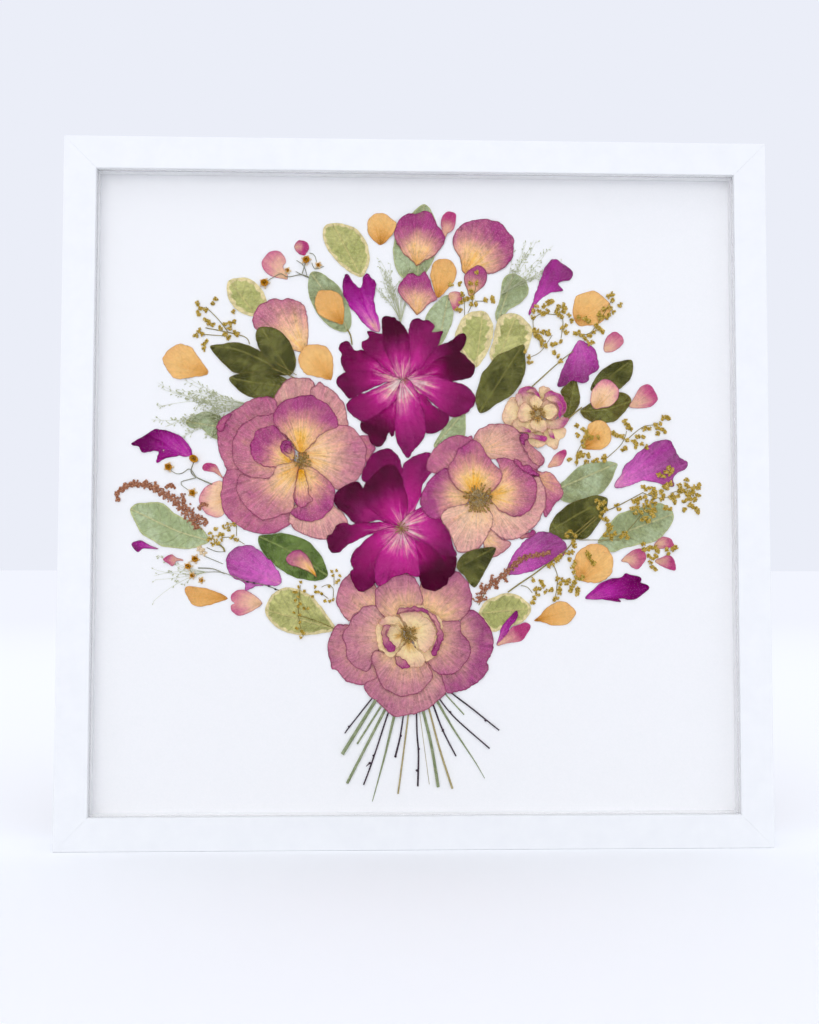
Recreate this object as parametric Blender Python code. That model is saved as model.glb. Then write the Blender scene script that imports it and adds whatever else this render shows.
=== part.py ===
"""Pressed flower frame: a square white box frame with pressed flowers between its glass and its board.

Run with: blender --background --python part.py
Metres, +Z up. The frame faces -Y. The origin is at the middle of the base, under mid-depth.
Outlines are in millimetres from the centre of the art board, as (to the right, up).
"""

from math import pi, radians

import bmesh
import bpy
from mathutils import Matrix, Vector

MM = 0.001

# Driving dimensions, in millimetres.
FRAME_SIDE = 430.0
FACE_WIDTH = 20.0
FRAME_DEPTH = 30.0
LIP_DEPTH = 4.0
REBATE_WIDTH = 5.3
MITRE_GAP = 0.3
GAP = 0.3

GLASS_THICKNESS = 2.0
SPACER_DEPTH = 5.1
SPACER_WIDTH = 5.0
BOARD_THICKNESS = 2.5
BACKING_THICKNESS = 3.0

LAYER_THICKNESS = 0.3
LAYER_PITCH = 0.6
HEAD_THICKNESS = 0.9

HANGER_LENGTH = 45.0
HANGER_HEIGHT = 11.0
HANGER_THICKNESS = 0.8
HANGER_TEETH = 15
TOOTH_DEPTH = 2.0
BUMPER_RADIUS = 5.5
BUMPER_THICKNESS = 2.0
BUMPER_FROM_SIDE = 7.5
BUMPER_FROM_BOTTOM = 26.0

# Sizes that follow from them.
CENTRE_HEIGHT = FRAME_SIDE / 2
OPENING_SIDE = FRAME_SIDE - 2 * FACE_WIDTH
REBATE_SIDE = OPENING_SIDE + 2 * REBATE_WIDTH
PANE_SIDE = REBATE_SIDE - 2 * GAP
FRONT = -FRAME_DEPTH / 2
GLASS_FRONT = FRONT + LIP_DEPTH + GAP
SPACER_FRONT = GLASS_FRONT + GLASS_THICKNESS + GAP
BOARD_FRONT = SPACER_FRONT + SPACER_DEPTH + GAP
BACKING_FRONT = BOARD_FRONT + BOARD_THICKNESS + GAP


# ---------------------------------------------------------------- materials

def material(name, colour, roughness, metallic=0.0):
    made = bpy.data.materials.new(name)
    made.use_nodes = True
    shader = made.node_tree.nodes["Principled BSDF"]
    shader.inputs["Base Color"].default_value = (*colour, 1.0)
    shader.inputs["Roughness"].default_value = roughness
    shader.inputs["Metallic"].default_value = metallic
    return made


def make_materials():
    looks = {
        "white_paint": ((0.86, 0.88, 0.93), 0.45),
        "glass": ((0.95, 0.98, 0.97), 0.05),
        "spacer": ((0.90, 0.91, 0.92), 0.80),
        "art_board": ((0.88, 0.90, 0.93), 0.85),
        "backing": ((0.36, 0.25, 0.16), 0.80),
        "steel": ((0.55, 0.55, 0.56), 0.35, 1.0),
        "rubber": ((0.70, 0.70, 0.70), 0.60),
        "rose_petal": ((0.58, 0.20, 0.27), 0.70),
        "magenta_petal": ((0.24, 0.01, 0.16), 0.70),
        "cream_petal": ((0.85, 0.62, 0.36), 0.70),
        "gold_petal": ((0.83, 0.50, 0.16), 0.70),
        "sage_leaf": ((0.31, 0.38, 0.18), 0.70),
        "pale_leaf": ((0.42, 0.43, 0.18), 0.70),
        "dark_leaf": ((0.09, 0.10, 0.02), 0.60),
    }
    return {name: material(name, *values) for name, values in looks.items()}


# ---------------------------------------------------------------- shared shape makers

def add_object(name, data, looks, collection):
    made = bpy.data.objects.new(name, data)
    if looks is not None:
        data.materials.append(looks)
    collection.objects.link(made)
    return made


def box_mesh(name, size, centre):
    """A box of the given size and centre, in millimetres."""
    shape = bmesh.new()
    place = Matrix.Translation(Vector(centre) * MM) @ Matrix.Diagonal((*(Vector(size) * MM), 1.0))
    bmesh.ops.create_cube(shape, size=1.0, matrix=place)
    mesh = bpy.data.meshes.new(name)
    shape.to_mesh(mesh)
    shape.free()
    return mesh


def slab(name, side, front, thickness, looks, collection):
    """A square sheet that stands upright in the frame, with its front face at the given depth."""
    mesh = box_mesh(name, (side, thickness, side), (0, front + thickness / 2, CENTRE_HEIGHT))
    return add_object(name, mesh, looks, collection)


def smooth_loop(points, steps):
    """Points along a closed curve that passes through all the given ones."""
    count = len(points)
    loop = []
    for index in range(count):
        before, start, end, after = (Vector(points[(index + shift) % count]) for shift in (-1, 0, 1, 2))
        for step in range(steps):
            t = step / steps
            loop.append(0.5 * (2 * start + (end - before) * t
                               + (2 * before - 5 * start + 4 * end - after) * t * t
                               + (3 * start - before - 3 * end + after) * t * t * t))
    return loop


def plate(name, outline, layer, thickness, looks, collection, steps=2):
    """A flat pressed piece: an outline on the board, given a thickness in its own layer."""
    curve = bpy.data.curves.new(name, "CURVE")
    curve.dimensions = "2D"
    curve.fill_mode = "BOTH"
    curve.extrude = thickness / 2 * MM
    loop = smooth_loop(outline, steps)
    spline = curve.splines.new("POLY")
    spline.points.add(len(loop) - 1)
    for point, place in zip(spline.points, loop):
        point.co = (place.x * MM, place.y * MM, 0.0, 1.0)
    spline.use_cyclic_u = True
    made = add_object(name, curve, looks, collection)
    back = BOARD_FRONT - GAP - layer * LAYER_PITCH
    made.location = (0.0, (back - thickness / 2) * MM, CENTRE_HEIGHT * MM)
    made.rotation_euler = (radians(90.0), 0.0, 0.0)
    return made


# ---------------------------------------------------------------- frame

def rail_mesh():
    """The bottom rail, seen from the frame's centre: a bar cut at 45 degrees at both ends."""
    half = FRAME_SIDE / 2
    bar = bmesh.new()
    place = (Matrix.Translation((0, 0, (FACE_WIDTH / 2 - half) * MM))
             @ Matrix.Diagonal((FRAME_SIDE * MM, FRAME_DEPTH * MM, FACE_WIDTH * MM, 1.0)))
    bmesh.ops.create_cube(bar, size=1.0, matrix=place)
    for end in (-1, 1):
        corner = Vector((end * (half - MITRE_GAP) * MM, 0, -half * MM))
        geometry = bar.verts[:] + bar.edges[:] + bar.faces[:]
        cut = bmesh.ops.bisect_plane(bar, geom=geometry, plane_co=corner, plane_no=(end, 0, 1),
                                     clear_outer=True)
        rim = [piece for piece in cut["geom_cut"] if isinstance(piece, bmesh.types.BMEdge)]
        bmesh.ops.contextual_create(bar, geom=rim)
    bmesh.ops.recalc_face_normals(bar, faces=bar.faces[:])
    mesh = bpy.data.meshes.new("rail")
    bar.to_mesh(mesh)
    bar.free()
    return mesh


def make_rails(looks, collection, cutters):
    depth = FRAME_DEPTH - LIP_DEPTH
    front = FRONT + LIP_DEPTH
    rebate = add_object("rebate_cutter", box_mesh("rebate_cutter", (REBATE_SIDE, depth + 2, REBATE_SIDE),
                                                  (0, front + depth / 2 + 1, CENTRE_HEIGHT)), None, cutters)
    rebate.hide_render = True
    rebate.display_type = "WIRE"
    mesh = rail_mesh()
    mesh.materials.append(looks)
    for quarter, name in enumerate(("rail_bottom", "rail_left", "rail_top", "rail_right")):
        rail = add_object(name, mesh, None, collection)
        rail.location = (0, 0, CENTRE_HEIGHT * MM)
        rail.rotation_euler = (0, quarter * pi / 2, 0)
        cut = rail.modifiers.new("rebate", "BOOLEAN")
        cut.operation = "DIFFERENCE"
        cut.object = rebate


def make_spacers(looks, collection):
    """Strips in the rebate, between the glass and the board; the side ones stand between the others."""
    reach = PANE_SIDE / 2 - SPACER_WIDTH / 2
    short = PANE_SIDE - 2 * SPACER_WIDTH - 2 * GAP
    depth = SPACER_FRONT + SPACER_DEPTH / 2
    for name, side in (("spacer_bottom", -1), ("spacer_top", 1)):
        centre = (0, depth, CENTRE_HEIGHT + side * reach)
        mesh = box_mesh(name, (PANE_SIDE, SPACER_DEPTH, SPACER_WIDTH), centre)
        add_object(name, mesh, looks, collection)
    for name, side in (("spacer_left", -1), ("spacer_right", 1)):
        centre = (side * reach, depth, CENTRE_HEIGHT)
        mesh = box_mesh(name, (SPACER_WIDTH, SPACER_DEPTH, short), centre)
        add_object(name, mesh, looks, collection)


def make_hanger(looks, collection):
    """A sawtooth plate on the back of the top rail, with its teeth along the lower edge."""
    half = HANGER_LENGTH / 2
    toothed = HANGER_LENGTH * 0.6
    outline = [(half, -HANGER_HEIGHT / 2), (half, HANGER_HEIGHT / 2),
               (-half, HANGER_HEIGHT / 2), (-half, -HANGER_HEIGHT / 2)]
    pitch = toothed / HANGER_TEETH
    for tooth in range(HANGER_TEETH):
        left = -toothed / 2 + tooth * pitch
        outline.append((left, -HANGER_HEIGHT / 2))
        outline.append((left + pitch / 2, -HANGER_HEIGHT / 2 + TOOTH_DEPTH))
    outline.append((toothed / 2, -HANGER_HEIGHT / 2))
    hanger = plate("sawtooth_hanger", outline, 0, HANGER_THICKNESS, looks, collection, steps=1)
    back = FRAME_DEPTH / 2 + GAP + HANGER_THICKNESS / 2
    hanger.location = (0, back * MM, (FRAME_SIDE - FACE_WIDTH / 2) * MM)


def make_bumpers(looks, collection):
    for name, side in (("bumper_left", -1), ("bumper_right", 1)):
        disc = bmesh.new()
        bmesh.ops.create_cone(disc, cap_ends=True, segments=24, radius1=BUMPER_RADIUS * MM,
                              radius2=BUMPER_RADIUS * 0.85 * MM, depth=BUMPER_THICKNESS * MM)
        mesh = bpy.data.meshes.new(name)
        disc.to_mesh(mesh)
        disc.free()
        bumper = add_object(name, mesh, looks, collection)
        away = FRAME_SIDE / 2 - BUMPER_FROM_SIDE
        depth = FRAME_DEPTH / 2 + GAP + BUMPER_THICKNESS / 2
        bumper.location = (side * away * MM, depth * MM, BUMPER_FROM_BOTTOM * MM)
        bumper.rotation_euler = (radians(-90.0), 0, 0)


# ---------------------------------------------------------------- leaves: layer, finish, outline

LEAVES = {
    "leaf_northwest_pale": (0, "pale_leaf", [
        (-99, 107.5), (-104, 107.8), (-110, 110.8), (-115, 116), (-117, 122), (-116.3, 129), (-110, 131.3),
        (-103, 130.5), (-98, 126.5), (-94.3, 121.5), (-92.6, 115), (-94.5, 109.5)]),
    "leaf_north_pale": (0, "pale_leaf", [
        (-34.5, 132.5), (-40, 134.5), (-46, 138.5), (-52, 144.5), (-56.5, 151.5), (-58.5, 158), (-57, 164),
        (-51, 166.2), (-45, 165.5), (-38.5, 163), (-33.5, 157.5), (-30.5, 151), (-29.5, 144), (-31, 137.5)]),
    "leaf_north_sage": (0, "sage_leaf", [
        (-43, 98.5), (-48, 98.7), (-54, 101.5), (-60, 107.5), (-65, 116), (-67.3, 124), (-66, 134.5),
        (-60, 134.8), (-54, 131), (-48, 126), (-44, 118.5), (-41, 110.5), (-40.8, 103)]),
    "leaf_top_sage": (0, "sage_leaf", [
        (0, 130.5), (-6, 131), (-11, 134), (-14, 141), (-14.8, 150), (-13, 160), (-8, 168), (-2.5, 173.5),
        (4.5, 178.5), (9.7, 172.5), (13, 163), (13.5, 153), (10.5, 144), (7, 137), (3.5, 132.5)]),
    "leaf_middle_sage": (0, "sage_leaf", [
        (13, 88.5), (8.5, 93), (6, 99), (5, 106), (8, 112.5), (13, 118), (19.5, 121.5), (22.3, 114),
        (22.2, 107), (20.3, 100), (17, 94)]),
    "leaf_northeast_pale": (0, "pale_leaf", [
        (36.5, 76.5), (31, 80), (27.5, 85), (25, 90), (23.6, 96), (25.5, 102), (28.5, 107.5), (33, 111),
        (38, 111.8), (43.5, 110.5), (46.5, 105), (47.4, 99), (46.2, 93), (43.8, 86.5), (40.5, 80.5)]),
    "leaf_northeast_sage": (0, "sage_leaf", [
        (50, 105), (48.6, 110), (51, 117), (52, 123), (52.8, 129), (55.5, 134), (60, 135.3), (65.5, 133),
        (69, 128.5), (69, 122.5), (64, 117), (57, 112.5), (53.5, 107.5)]),
    "leaf_east_pale": (1, "pale_leaf", [
        (47, 80), (45, 86), (47.2, 93), (48.4, 100), (50, 106), (54, 109.5), (59, 110.3), (64, 108.8),
        (68.5, 105), (71.4, 100.5), (71, 95), (69, 89), (65, 83), (56, 79)]),
    "leaf_west_dark_upper": (0, "dark_leaf", [
        (-127, 88.5), (-120, 90), (-114, 91.3), (-107, 90.3), (-99, 87), (-91, 82), (-84, 76), (-80, 71),
        (-88, 71.3), (-99, 71.5), (-111, 72), (-117, 76), (-122.5, 81.5)]),
    "leaf_west_dark_lower": (1, "dark_leaf", [
        (-115.3, 69), (-108, 71.8), (-98, 73), (-88, 72), (-80, 68.5), (-78, 64), (-84, 58.5), (-92, 56),
        (-101, 57), (-107, 59.5), (-112, 63.8)]),
    "leaf_west_dark_upright": (2, "dark_leaf", [
        (-77.5, 71), (-84, 73), (-91.5, 78.5), (-97, 87), (-99.3, 95), (-97, 100.3), (-90.5, 100.6),
        (-84, 97.8), (-79, 92.5), (-75.5, 85), (-74.2, 78)]),
    "leaf_west_folded": (0, "sage_leaf", [
        (-115, 38), (-119, 44.5), (-127, 47.8), (-134, 46.8), (-141.3, 42), (-137.5, 37.8), (-132.5, 38.3),
        (-128, 34.5), (-121.5, 31.3)]),
    "leaf_west_large": (0, "sage_leaf", [
        (-126.5, -31.3), (-129, -25.5), (-134, -20.5), (-141, -17.5), (-148, -14), (-153, -9.5), (-158.5, -7.2),
        (-165, -7.8), (-170.5, -8.3), (-174.6, -11.5), (-173, -16.5), (-170, -22.5), (-167, -27.5), (-160, -31),
        (-155, -34.3), (-147, -35.4), (-138, -35.7), (-131, -33.8)]),
    "leaf_southwest_dark": (0, "dark_leaf", [
        (-96.5, -28), (-90, -27), (-82.5, -26.2), (-74, -28), (-66, -31.5), (-59.5, -38.5), (-56, -45),
        (-54.5, -52), (-60, -55), (-67, -54.8), (-76, -52.5), (-85, -47), (-92, -40), (-96, -34)]),
    "leaf_southwest_pale": (0, "pale_leaf", [
        (-49.5, -84.5), (-54, -77), (-59, -70), (-64, -64.5), (-70, -61.3), (-77, -59.2), (-84, -60.6),
        (-89, -65), (-92, -71), (-91.5, -76), (-88, -81), (-82, -85.3), (-75, -87.6), (-67, -88.3), (-58, -87)]),
    "leaf_centre": (0, "sage_leaf", [
        (10.5, 27), (13, 33.5), (18, 40.5), (23.5, 46.5), (29.3, 49), (30.2, 42), (29, 33), (22, 28.5),
        (15, 26.3)]),
    "leaf_east_dark": (2, "dark_leaf", [
        (38.5, 48.5), (36.2, 57), (38, 66), (40.5, 73), (44.5, 78), (50, 84), (58, 87.5), (65.8, 91),
        (67, 83), (67, 75), (64, 66), (58, 59), (50, 54.5), (44, 50)]),
    "leaf_east_olive": (0, "dark_leaf", [
        (93.5, 44.5), (90.2, 47.5), (91, 51.5), (91.5, 56.5), (89, 61.5), (92.5, 66), (98, 69.3), (100, 65),
        (101, 60), (100.7, 54), (97.5, 49)]),
    "leaf_east_long": (1, "dark_leaf", [
        (101, 49.5), (107, 54.5), (115, 58.8), (125, 61.7), (131, 59.8), (133, 56), (131, 52), (127, 47.5),
        (122, 43.5), (114, 42.5), (106, 44)]),
    "leaf_east_green": (0, "dark_leaf", [
        (108, 62.5), (110, 69.5), (115, 75.5), (121, 79.3), (127, 81), (133.5, 81.8), (134.3, 76),
        (132.5, 70), (128.5, 66), (124, 62.5), (116, 61.5)]),
    "leaf_east_low_sage": (0, "sage_leaf", [
        (84, 0), (88.5, 5), (93, 8.5), (97.5, 13.3), (104, 16.8), (112, 18.3), (123.9, 17.6), (122, 11),
        (119.5, 5), (115.5, 0), (110, -3), (103, -5.5), (96, -7), (89, -5.5)]),
    "leaf_east_low_dark": (1, "dark_leaf", [
        (81.5, -25), (84, -17), (88.5, -12), (94, -7.8), (101, -5.2), (109, -2.7), (117.5, -4.4), (116, -13),
        (110.5, -22), (105, -28.5), (98, -29.7), (88, -29.5)]),
    "leaf_southeast_sage": (0, "sage_leaf", [
        (111.5, -31.5), (115.5, -26), (119, -20.5), (122.5, -15.5), (128, -12.5), (137, -10.2), (145, -7.5),
        (151, -7.2), (156.5, -10.5), (158.7, -15), (157, -20.5), (151, -28), (144, -31.8), (135, -33.3),
        (126, -35.5), (119.5, -37.3)]),
    "leaf_south_dark": (8, "dark_leaf", [
        (24.3, -47), (27.5, -40), (33, -36.8), (40, -35.2), (48.3, -34.7), (46.5, -40.5), (43, -47.5),
        (39, -54.5), (35, -59.3), (29.5, -52.5)]),
    "leaf_southeast_pale": (0, "pale_leaf", [
        (38, -75), (42, -68), (48, -64.7), (55, -62.8), (62, -64), (67.5, -67.7), (70.2, -71.5),
        (68.5, -76.5), (64.5, -80.3), (57, -83.2), (51, -85), (46, -86.2), (41, -81)]),
}

# ---------------------------------------------------------------- loose petals: layer, finish, outline

PETALS = {
    "petal_north_large": (1, "rose_petal", [
        (-0.5, 139.3), (-5, 144), (-9, 148.5), (-12.5, 153), (-14.7, 159.5), (-12.5, 165), (-9.5, 170),
        (-5, 172.5), (0, 171.8), (4, 174.2), (8, 173), (10.7, 170), (13, 164.5), (17.2, 159.3), (15.8, 152),
        (11, 146.5), (5, 142.5)]),
    "petal_northeast_large": (1, "rose_petal", [
        (29, 135.5), (26.5, 144.5), (22.5, 152), (22.2, 158), (25.5, 163.5), (31.5, 168), (39, 169.7),
        (46, 168.7), (51.8, 166.8), (56.5, 162.5), (60.2, 156.5), (60, 149), (57.8, 143), (52.5, 137.3),
        (45, 134.8), (36, 134.2)]),
    "petal_northwest_rose": (1, "rose_petal", [
        (-69.5, 86), (-77, 86.5), (-88, 90), (-97, 96.5), (-100.8, 103.5), (-99.3, 111), (-94.5, 115.8),
        (-88, 118.3), (-83.5, 117.2), (-79.5, 118.6), (-74.5, 117.5), (-69.5, 114), (-67.6, 107), (-66.8, 96)]),
    "petal_north_forked": (1, "magenta_petal", [
        (-23.5, 98), (-22.5, 103), (-25, 110), (-26.6, 118), (-25.3, 127), (-28, 132), (-31.5, 134.8),
        (-33.8, 130.5), (-35, 125.7), (-39, 128.5), (-43.5, 134.3), (-46.3, 128), (-44.5, 119.5), (-40, 112),
        (-34, 105.3), (-28, 99.5)]),
    "petal_northeast_trumpet": (1, "magenta_petal", [
        (69.5, 109.2), (73, 115), (79, 120.8), (85, 124), (91.2, 124.8), (88, 129.3), (95, 132), (96.9, 137),
        (92, 141.3), (84.5, 144.7), (80, 140), (76.5, 130.5), (73.7, 122.5), (71, 115.5)]),
    "petal_east_folded": (1, "magenta_petal", [
        (101, 94), (96, 87.5), (91.5, 79.5), (88.5, 71), (87, 65.3), (91.5, 65.7), (95.5, 68.8), (101, 67),
        (106.5, 69), (107, 72.5), (113, 76.5), (112, 83), (110, 89)]),
    "petal_west_gold": (1, "gold_petal", [
        (-128.3, 72), (-132.5, 79.5), (-138, 87), (-145, 89.8), (-151.5, 86.8), (-155.8, 80.5), (-153.5, 73.5),
        (-148, 68.6), (-138, 69.2)]),
    "petal_west_gold_round": (2, "gold_petal", [
        (-53, 68), (-60, 69.8), (-68, 71.8), (-72.3, 77), (-72.2, 84), (-68, 89.5), (-61.5, 90.6), (-55.5, 87.5),
        (-51.8, 80.5), (-51.2, 73)]),
    "petal_north_pink": (1, "rose_petal", [
        (0, 108.8), (-4, 113.5), (-8.7, 118.2), (-11.8, 124.5), (-10.5, 129), (-6.5, 133.5), (-2, 134.5),
        (1.5, 133), (5, 136.8), (8, 130.5), (10, 125), (12.4, 119.5), (9, 116.8), (4.5, 112.5)]),
    "petal_west_magenta": (1, "magenta_petal", [
        (-138, 20.5), (-138.5, 26), (-143, 31.5), (-149, 35), (-154.5, 36.7), (-160, 37), (-165.5, 34.3),
        (-170, 31), (-174.8, 28), (-169.5, 27), (-167.5, 22.6), (-162, 23.8), (-157.3, 23.5), (-159, 17),
        (-152, 19.8), (-145, 21)]),
    "petal_east_magenta": (1, "magenta_petal", [
        (122, 3), (125, 9), (129, 16.5), (135, 22.3), (143, 28), (150, 31.5), (157, 31.2), (160.3, 25.5),
        (162.8, 21), (167.5, 19), (167, 14.6), (161, 11.5), (158.3, 7.5), (158.5, 3.3), (150, 4.8), (141, 6.8),
        (133, 4.3), (126, 1.6)]),
    "petal_southwest_magenta": (1, "magenta_petal", [
        (-83, -57), (-91, -58.3), (-98, -58.3), (-104.5, -62), (-104.8, -57), (-110.5, -53.8), (-115, -49),
        (-116.6, -43), (-113, -37), (-107, -33.7), (-100.5, -34.3), (-94, -38.5), (-88, -44.5), (-83.5, -51)]),
    "petal_southeast_magenta": (2, "magenta_petal", [
        (56, -50), (56.5, -44), (60.5, -38), (66, -31.3), (72, -26.5), (79, -24.8), (86, -27.3), (91.8, -32),
        (91.3, -38.5), (86, -42), (79, -45.5), (70, -49.5), (61, -52)]),
    "petal_southeast_gold": (1, "gold_petal", [
        (100.5, -55), (97.3, -49), (96.8, -42), (100, -36), (104.5, -33.8), (110.5, -32), (116, -34.2),
        (120, -39.3), (121.2, -45), (119, -51.5), (113, -56), (106.5, -56.6)]),
}

# ---------------------------------------------------------------- flower heads: layer, finish, outline

HEADS = {
    "rose_left": (2, "rose_petal", [
        (-87.5, 58), (-85.5, 63), (-79, 68.2), (-70, 69.5), (-62, 66.5), (-54, 62.5), (-47, 55), (-43, 45),
        (-40, 38.5), (-30, 33), (-26.5, 26), (-31, 17), (-36, 6), (-46, 1), (-52, -9), (-43.5, -19),
        (-50, -28.5), (-59, -30.2), (-69, -27), (-77, -22), (-86, -26), (-97, -26.5), (-109, -22),
        (-117.5, -13.5), (-119.3, -2), (-116.5, 12), (-121, 25), (-122, 36), (-120, 44), (-109, 51),
        (-98, 57.3), (-91, 57.5)]),
    "rose_right": (6, "rose_petal", [
        (34.5, 31.5), (26, 34.5), (17, 31.5), (10, 24), (6.2, 14), (3.5, 3), (1.8, -5), (6, -15.5), (14.5, -17),
        (18, -28), (24, -37), (33, -37), (40, -36.5), (47, -40.3), (55, -36), (58, -30.3), (68, -28),
        (74, -21.5), (83, -13.5), (89, -4.5), (89.8, 2), (86, 9), (80, 11), (74.5, 13), (77, 18.5), (72, 27),
        (65, 34.3), (58, 40), (49, 41), (40, 37.5)]),
    "rose_low": (2, "rose_petal", [
        (-43, -52), (-48, -60.5), (-49, -69), (-45, -78), (-51.5, -86), (-54, -97), (-52, -108.5), (-43, -115.5),
        (-32, -118.5), (-26, -128), (-13, -137.5), (-1, -136), (11, -131), (18, -122.8), (31, -121), (41, -112.5),
        (44, -104.5), (46.8, -95), (45.5, -84), (40, -76.5), (33, -72), (34, -63), (29, -51), (20, -45),
        (0, -47), (-20, -47), (-35, -45)]),
    "rose_low_heart": (4, "cream_petal", [
        (-12, -73), (-4, -70), (4, -70.5), (11, -74.5), (14.5, -81), (16.5, -87), (14.5, -96), (8, -102.5),
        (1, -107), (-6, -107.5), (-13, -103), (-20, -99.5), (-25, -93.5), (-24.5, -83), (-20, -77)]),
    "cream_rose": (4, "cream_petal", [
        (53, 51), (58, 58.5), (64, 63.5), (71, 64.8), (80, 64.5), (88, 61), (92.5, 53), (91, 47.5), (93, 43.5),
        (91, 39), (88.5, 32), (85, 26.5), (79.5, 28.5), (73, 27), (65.5, 32), (58, 38.5), (53, 43)]),
    "peony_upper": (4, "magenta_petal", [
        (-48, 86), (-47.5, 90.5), (-43, 92.8), (-40, 89), (-36, 86), (-34, 91.5), (-29, 95), (-23, 96.5),
        (-21.8, 104), (-19.5, 108.5), (-13, 105), (-8, 101), (-5.5, 100), (-3, 105), (2, 106.8), (8, 105.5),
        (11, 102), (16, 99), (14, 93), (11, 88), (20, 92), (28, 97), (30.3, 94), (27, 86.5), (33, 81), (36, 77),
        (33.5, 71.5), (22, 67.5), (31, 64), (35.8, 58), (35, 52), (29, 48), (21, 45), (15, 36.5), (8, 36),
        (4, 35), (0, 29), (-6, 20.5), (-11, 26), (-14, 33.5), (-18, 36.5), (-20, 30), (-24, 27), (-28, 30),
        (-29, 35), (-34, 38), (-35, 43.5), (-41, 47), (-43.8, 51.5), (-41, 57), (-46, 62.5), (-49.3, 67.5),
        (-45.5, 73), (-47, 80)]),
    "peony_lower": (4, "magenta_petal", [
        (-37, 5.3), (-33.5, 11), (-31, 17.5), (-26, 23), (-19, 26), (-13.5, 23), (-10, 19), (-7.8, 14.5),
        (-3, 20), (3, 22.5), (9, 23.5), (9, 13), (11, 0), (14, -12), (18.5, -23), (22, -31), (24.7, -41),
        (24, -48), (20, -53), (16, -59), (10, -61), (4, -58), (1, -53), (-6, -50.5), (-15, -53), (-23, -60),
        (-26, -57), (-31, -61.5), (-35, -62), (-40.5, -56), (-41, -50), (-41, -43.5), (-37, -34), (-32.5, -27),
        (-40, -31), (-47, -36), (-53, -38), (-55, -32), (-54, -27), (-48, -21), (-42, -20), (-46, -14),
        (-50.5, -8), (-50, -1.5), (-44, 3)]),
}
SHARP_HEADS = ("peony_upper", "peony_lower")


# ---------------------------------------------------------------- the whole object

def main():
    for leftover in list(bpy.data.objects):
        bpy.data.objects.remove(leftover, do_unlink=True)
    parts = bpy.data.collections.new("pressed_flower_frame")
    cutters = bpy.data.collections.new("cutters")
    for collection in (parts, cutters):
        bpy.context.scene.collection.children.link(collection)
    looks = make_materials()

    make_rails(looks["white_paint"], parts, cutters)
    slab("glass", PANE_SIDE, GLASS_FRONT, GLASS_THICKNESS, looks["glass"], parts)
    make_spacers(looks["spacer"], parts)
    slab("art_board", PANE_SIDE, BOARD_FRONT, BOARD_THICKNESS, looks["art_board"], parts)
    slab("backing_board", PANE_SIDE, BACKING_FRONT, BACKING_THICKNESS, looks["backing"], parts)
    make_hanger(looks["steel"], parts)
    make_bumpers(looks["rubber"], parts)

    for name, (layer, finish, outline) in {**LEAVES, **PETALS}.items():
        plate(name, outline, layer, LAYER_THICKNESS, looks[finish], parts)
    for name, (layer, finish, outline) in HEADS.items():
        steps = 1 if name in SHARP_HEADS else 2
        plate(name, outline, layer, HEAD_THICKNESS, looks[finish], parts, steps)


main()
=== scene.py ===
import random
from functools import partial
from math import cos, pi, radians, sin

import bpy
import numpy as np
from mathutils import Matrix, Vector, noise


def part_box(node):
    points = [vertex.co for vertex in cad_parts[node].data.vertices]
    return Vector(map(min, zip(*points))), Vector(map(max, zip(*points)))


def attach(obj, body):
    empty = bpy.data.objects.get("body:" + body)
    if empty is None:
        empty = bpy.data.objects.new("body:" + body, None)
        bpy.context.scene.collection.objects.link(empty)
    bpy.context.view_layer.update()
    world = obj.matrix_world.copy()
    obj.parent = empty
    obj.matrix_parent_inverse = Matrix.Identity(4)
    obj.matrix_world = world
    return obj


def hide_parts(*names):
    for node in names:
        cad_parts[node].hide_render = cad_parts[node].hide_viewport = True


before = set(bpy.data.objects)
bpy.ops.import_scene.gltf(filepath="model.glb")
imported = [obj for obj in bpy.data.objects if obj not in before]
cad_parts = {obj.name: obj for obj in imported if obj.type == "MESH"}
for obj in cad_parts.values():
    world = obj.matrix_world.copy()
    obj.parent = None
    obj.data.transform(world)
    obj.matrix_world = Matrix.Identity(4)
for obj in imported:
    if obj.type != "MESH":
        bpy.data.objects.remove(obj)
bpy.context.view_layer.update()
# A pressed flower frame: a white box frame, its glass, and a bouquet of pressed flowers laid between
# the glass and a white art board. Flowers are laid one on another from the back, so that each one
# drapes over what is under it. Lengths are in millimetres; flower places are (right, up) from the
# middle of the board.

MM = 0.001

BOARD_CENTRE = 215.0      # height of the board's middle above the base
BOARD_FRONT = -3.0        # where the front of the board is, in depth
HEAP_LIMIT = 5.35         # the flowers stay behind the glass
CELL = 0.8                # the heap of flowers is measured on a grid of this size,
REACH = 200.0             # this far to each side of the board's middle
AIR = 0.03                # between one petal and the next

heap = np.zeros((int(2 * REACH / CELL), int(2 * REACH / CELL)))
chance = random.Random(41)


# ---------------------------------------------------------------- small helpers

def colour(code):
    """An sRGB hex value as the linear colour that a node takes."""
    parts = [int(code[i:i + 2], 16) / 255 for i in (0, 2, 4)]
    return tuple(p / 12.92 if p <= 0.04045 else ((p + 0.055) / 1.055) ** 2.4 for p in parts) + (1.0,)


def wire(node, key, source):
    """Links a node, or one socket of it, to an input of another node."""
    node.id_data.links.new(getattr(source, "outputs", [source])[0], node.inputs[key])


def add(tree, kind, settings=()):
    """Adds a node. Each setting is a property of it, or an input's value or the node that feeds it."""
    node = tree.nodes.new("ShaderNode" + kind)
    for key, value in dict(settings).items():
        if isinstance(value, (bpy.types.Node, bpy.types.NodeSocket)):
            wire(node, key, value)
        elif key == "stops":
            elements = node.color_ramp.elements
            while len(elements) < len(value):
                elements.new(0.5)
            for element, (position, code) in zip(elements, value):
                element.position = position
                element.color = colour(code)
        elif isinstance(key, str) and hasattr(node, key):
            setattr(node, key, value)
        else:
            node.inputs[key].default_value = value
    return node


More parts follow.
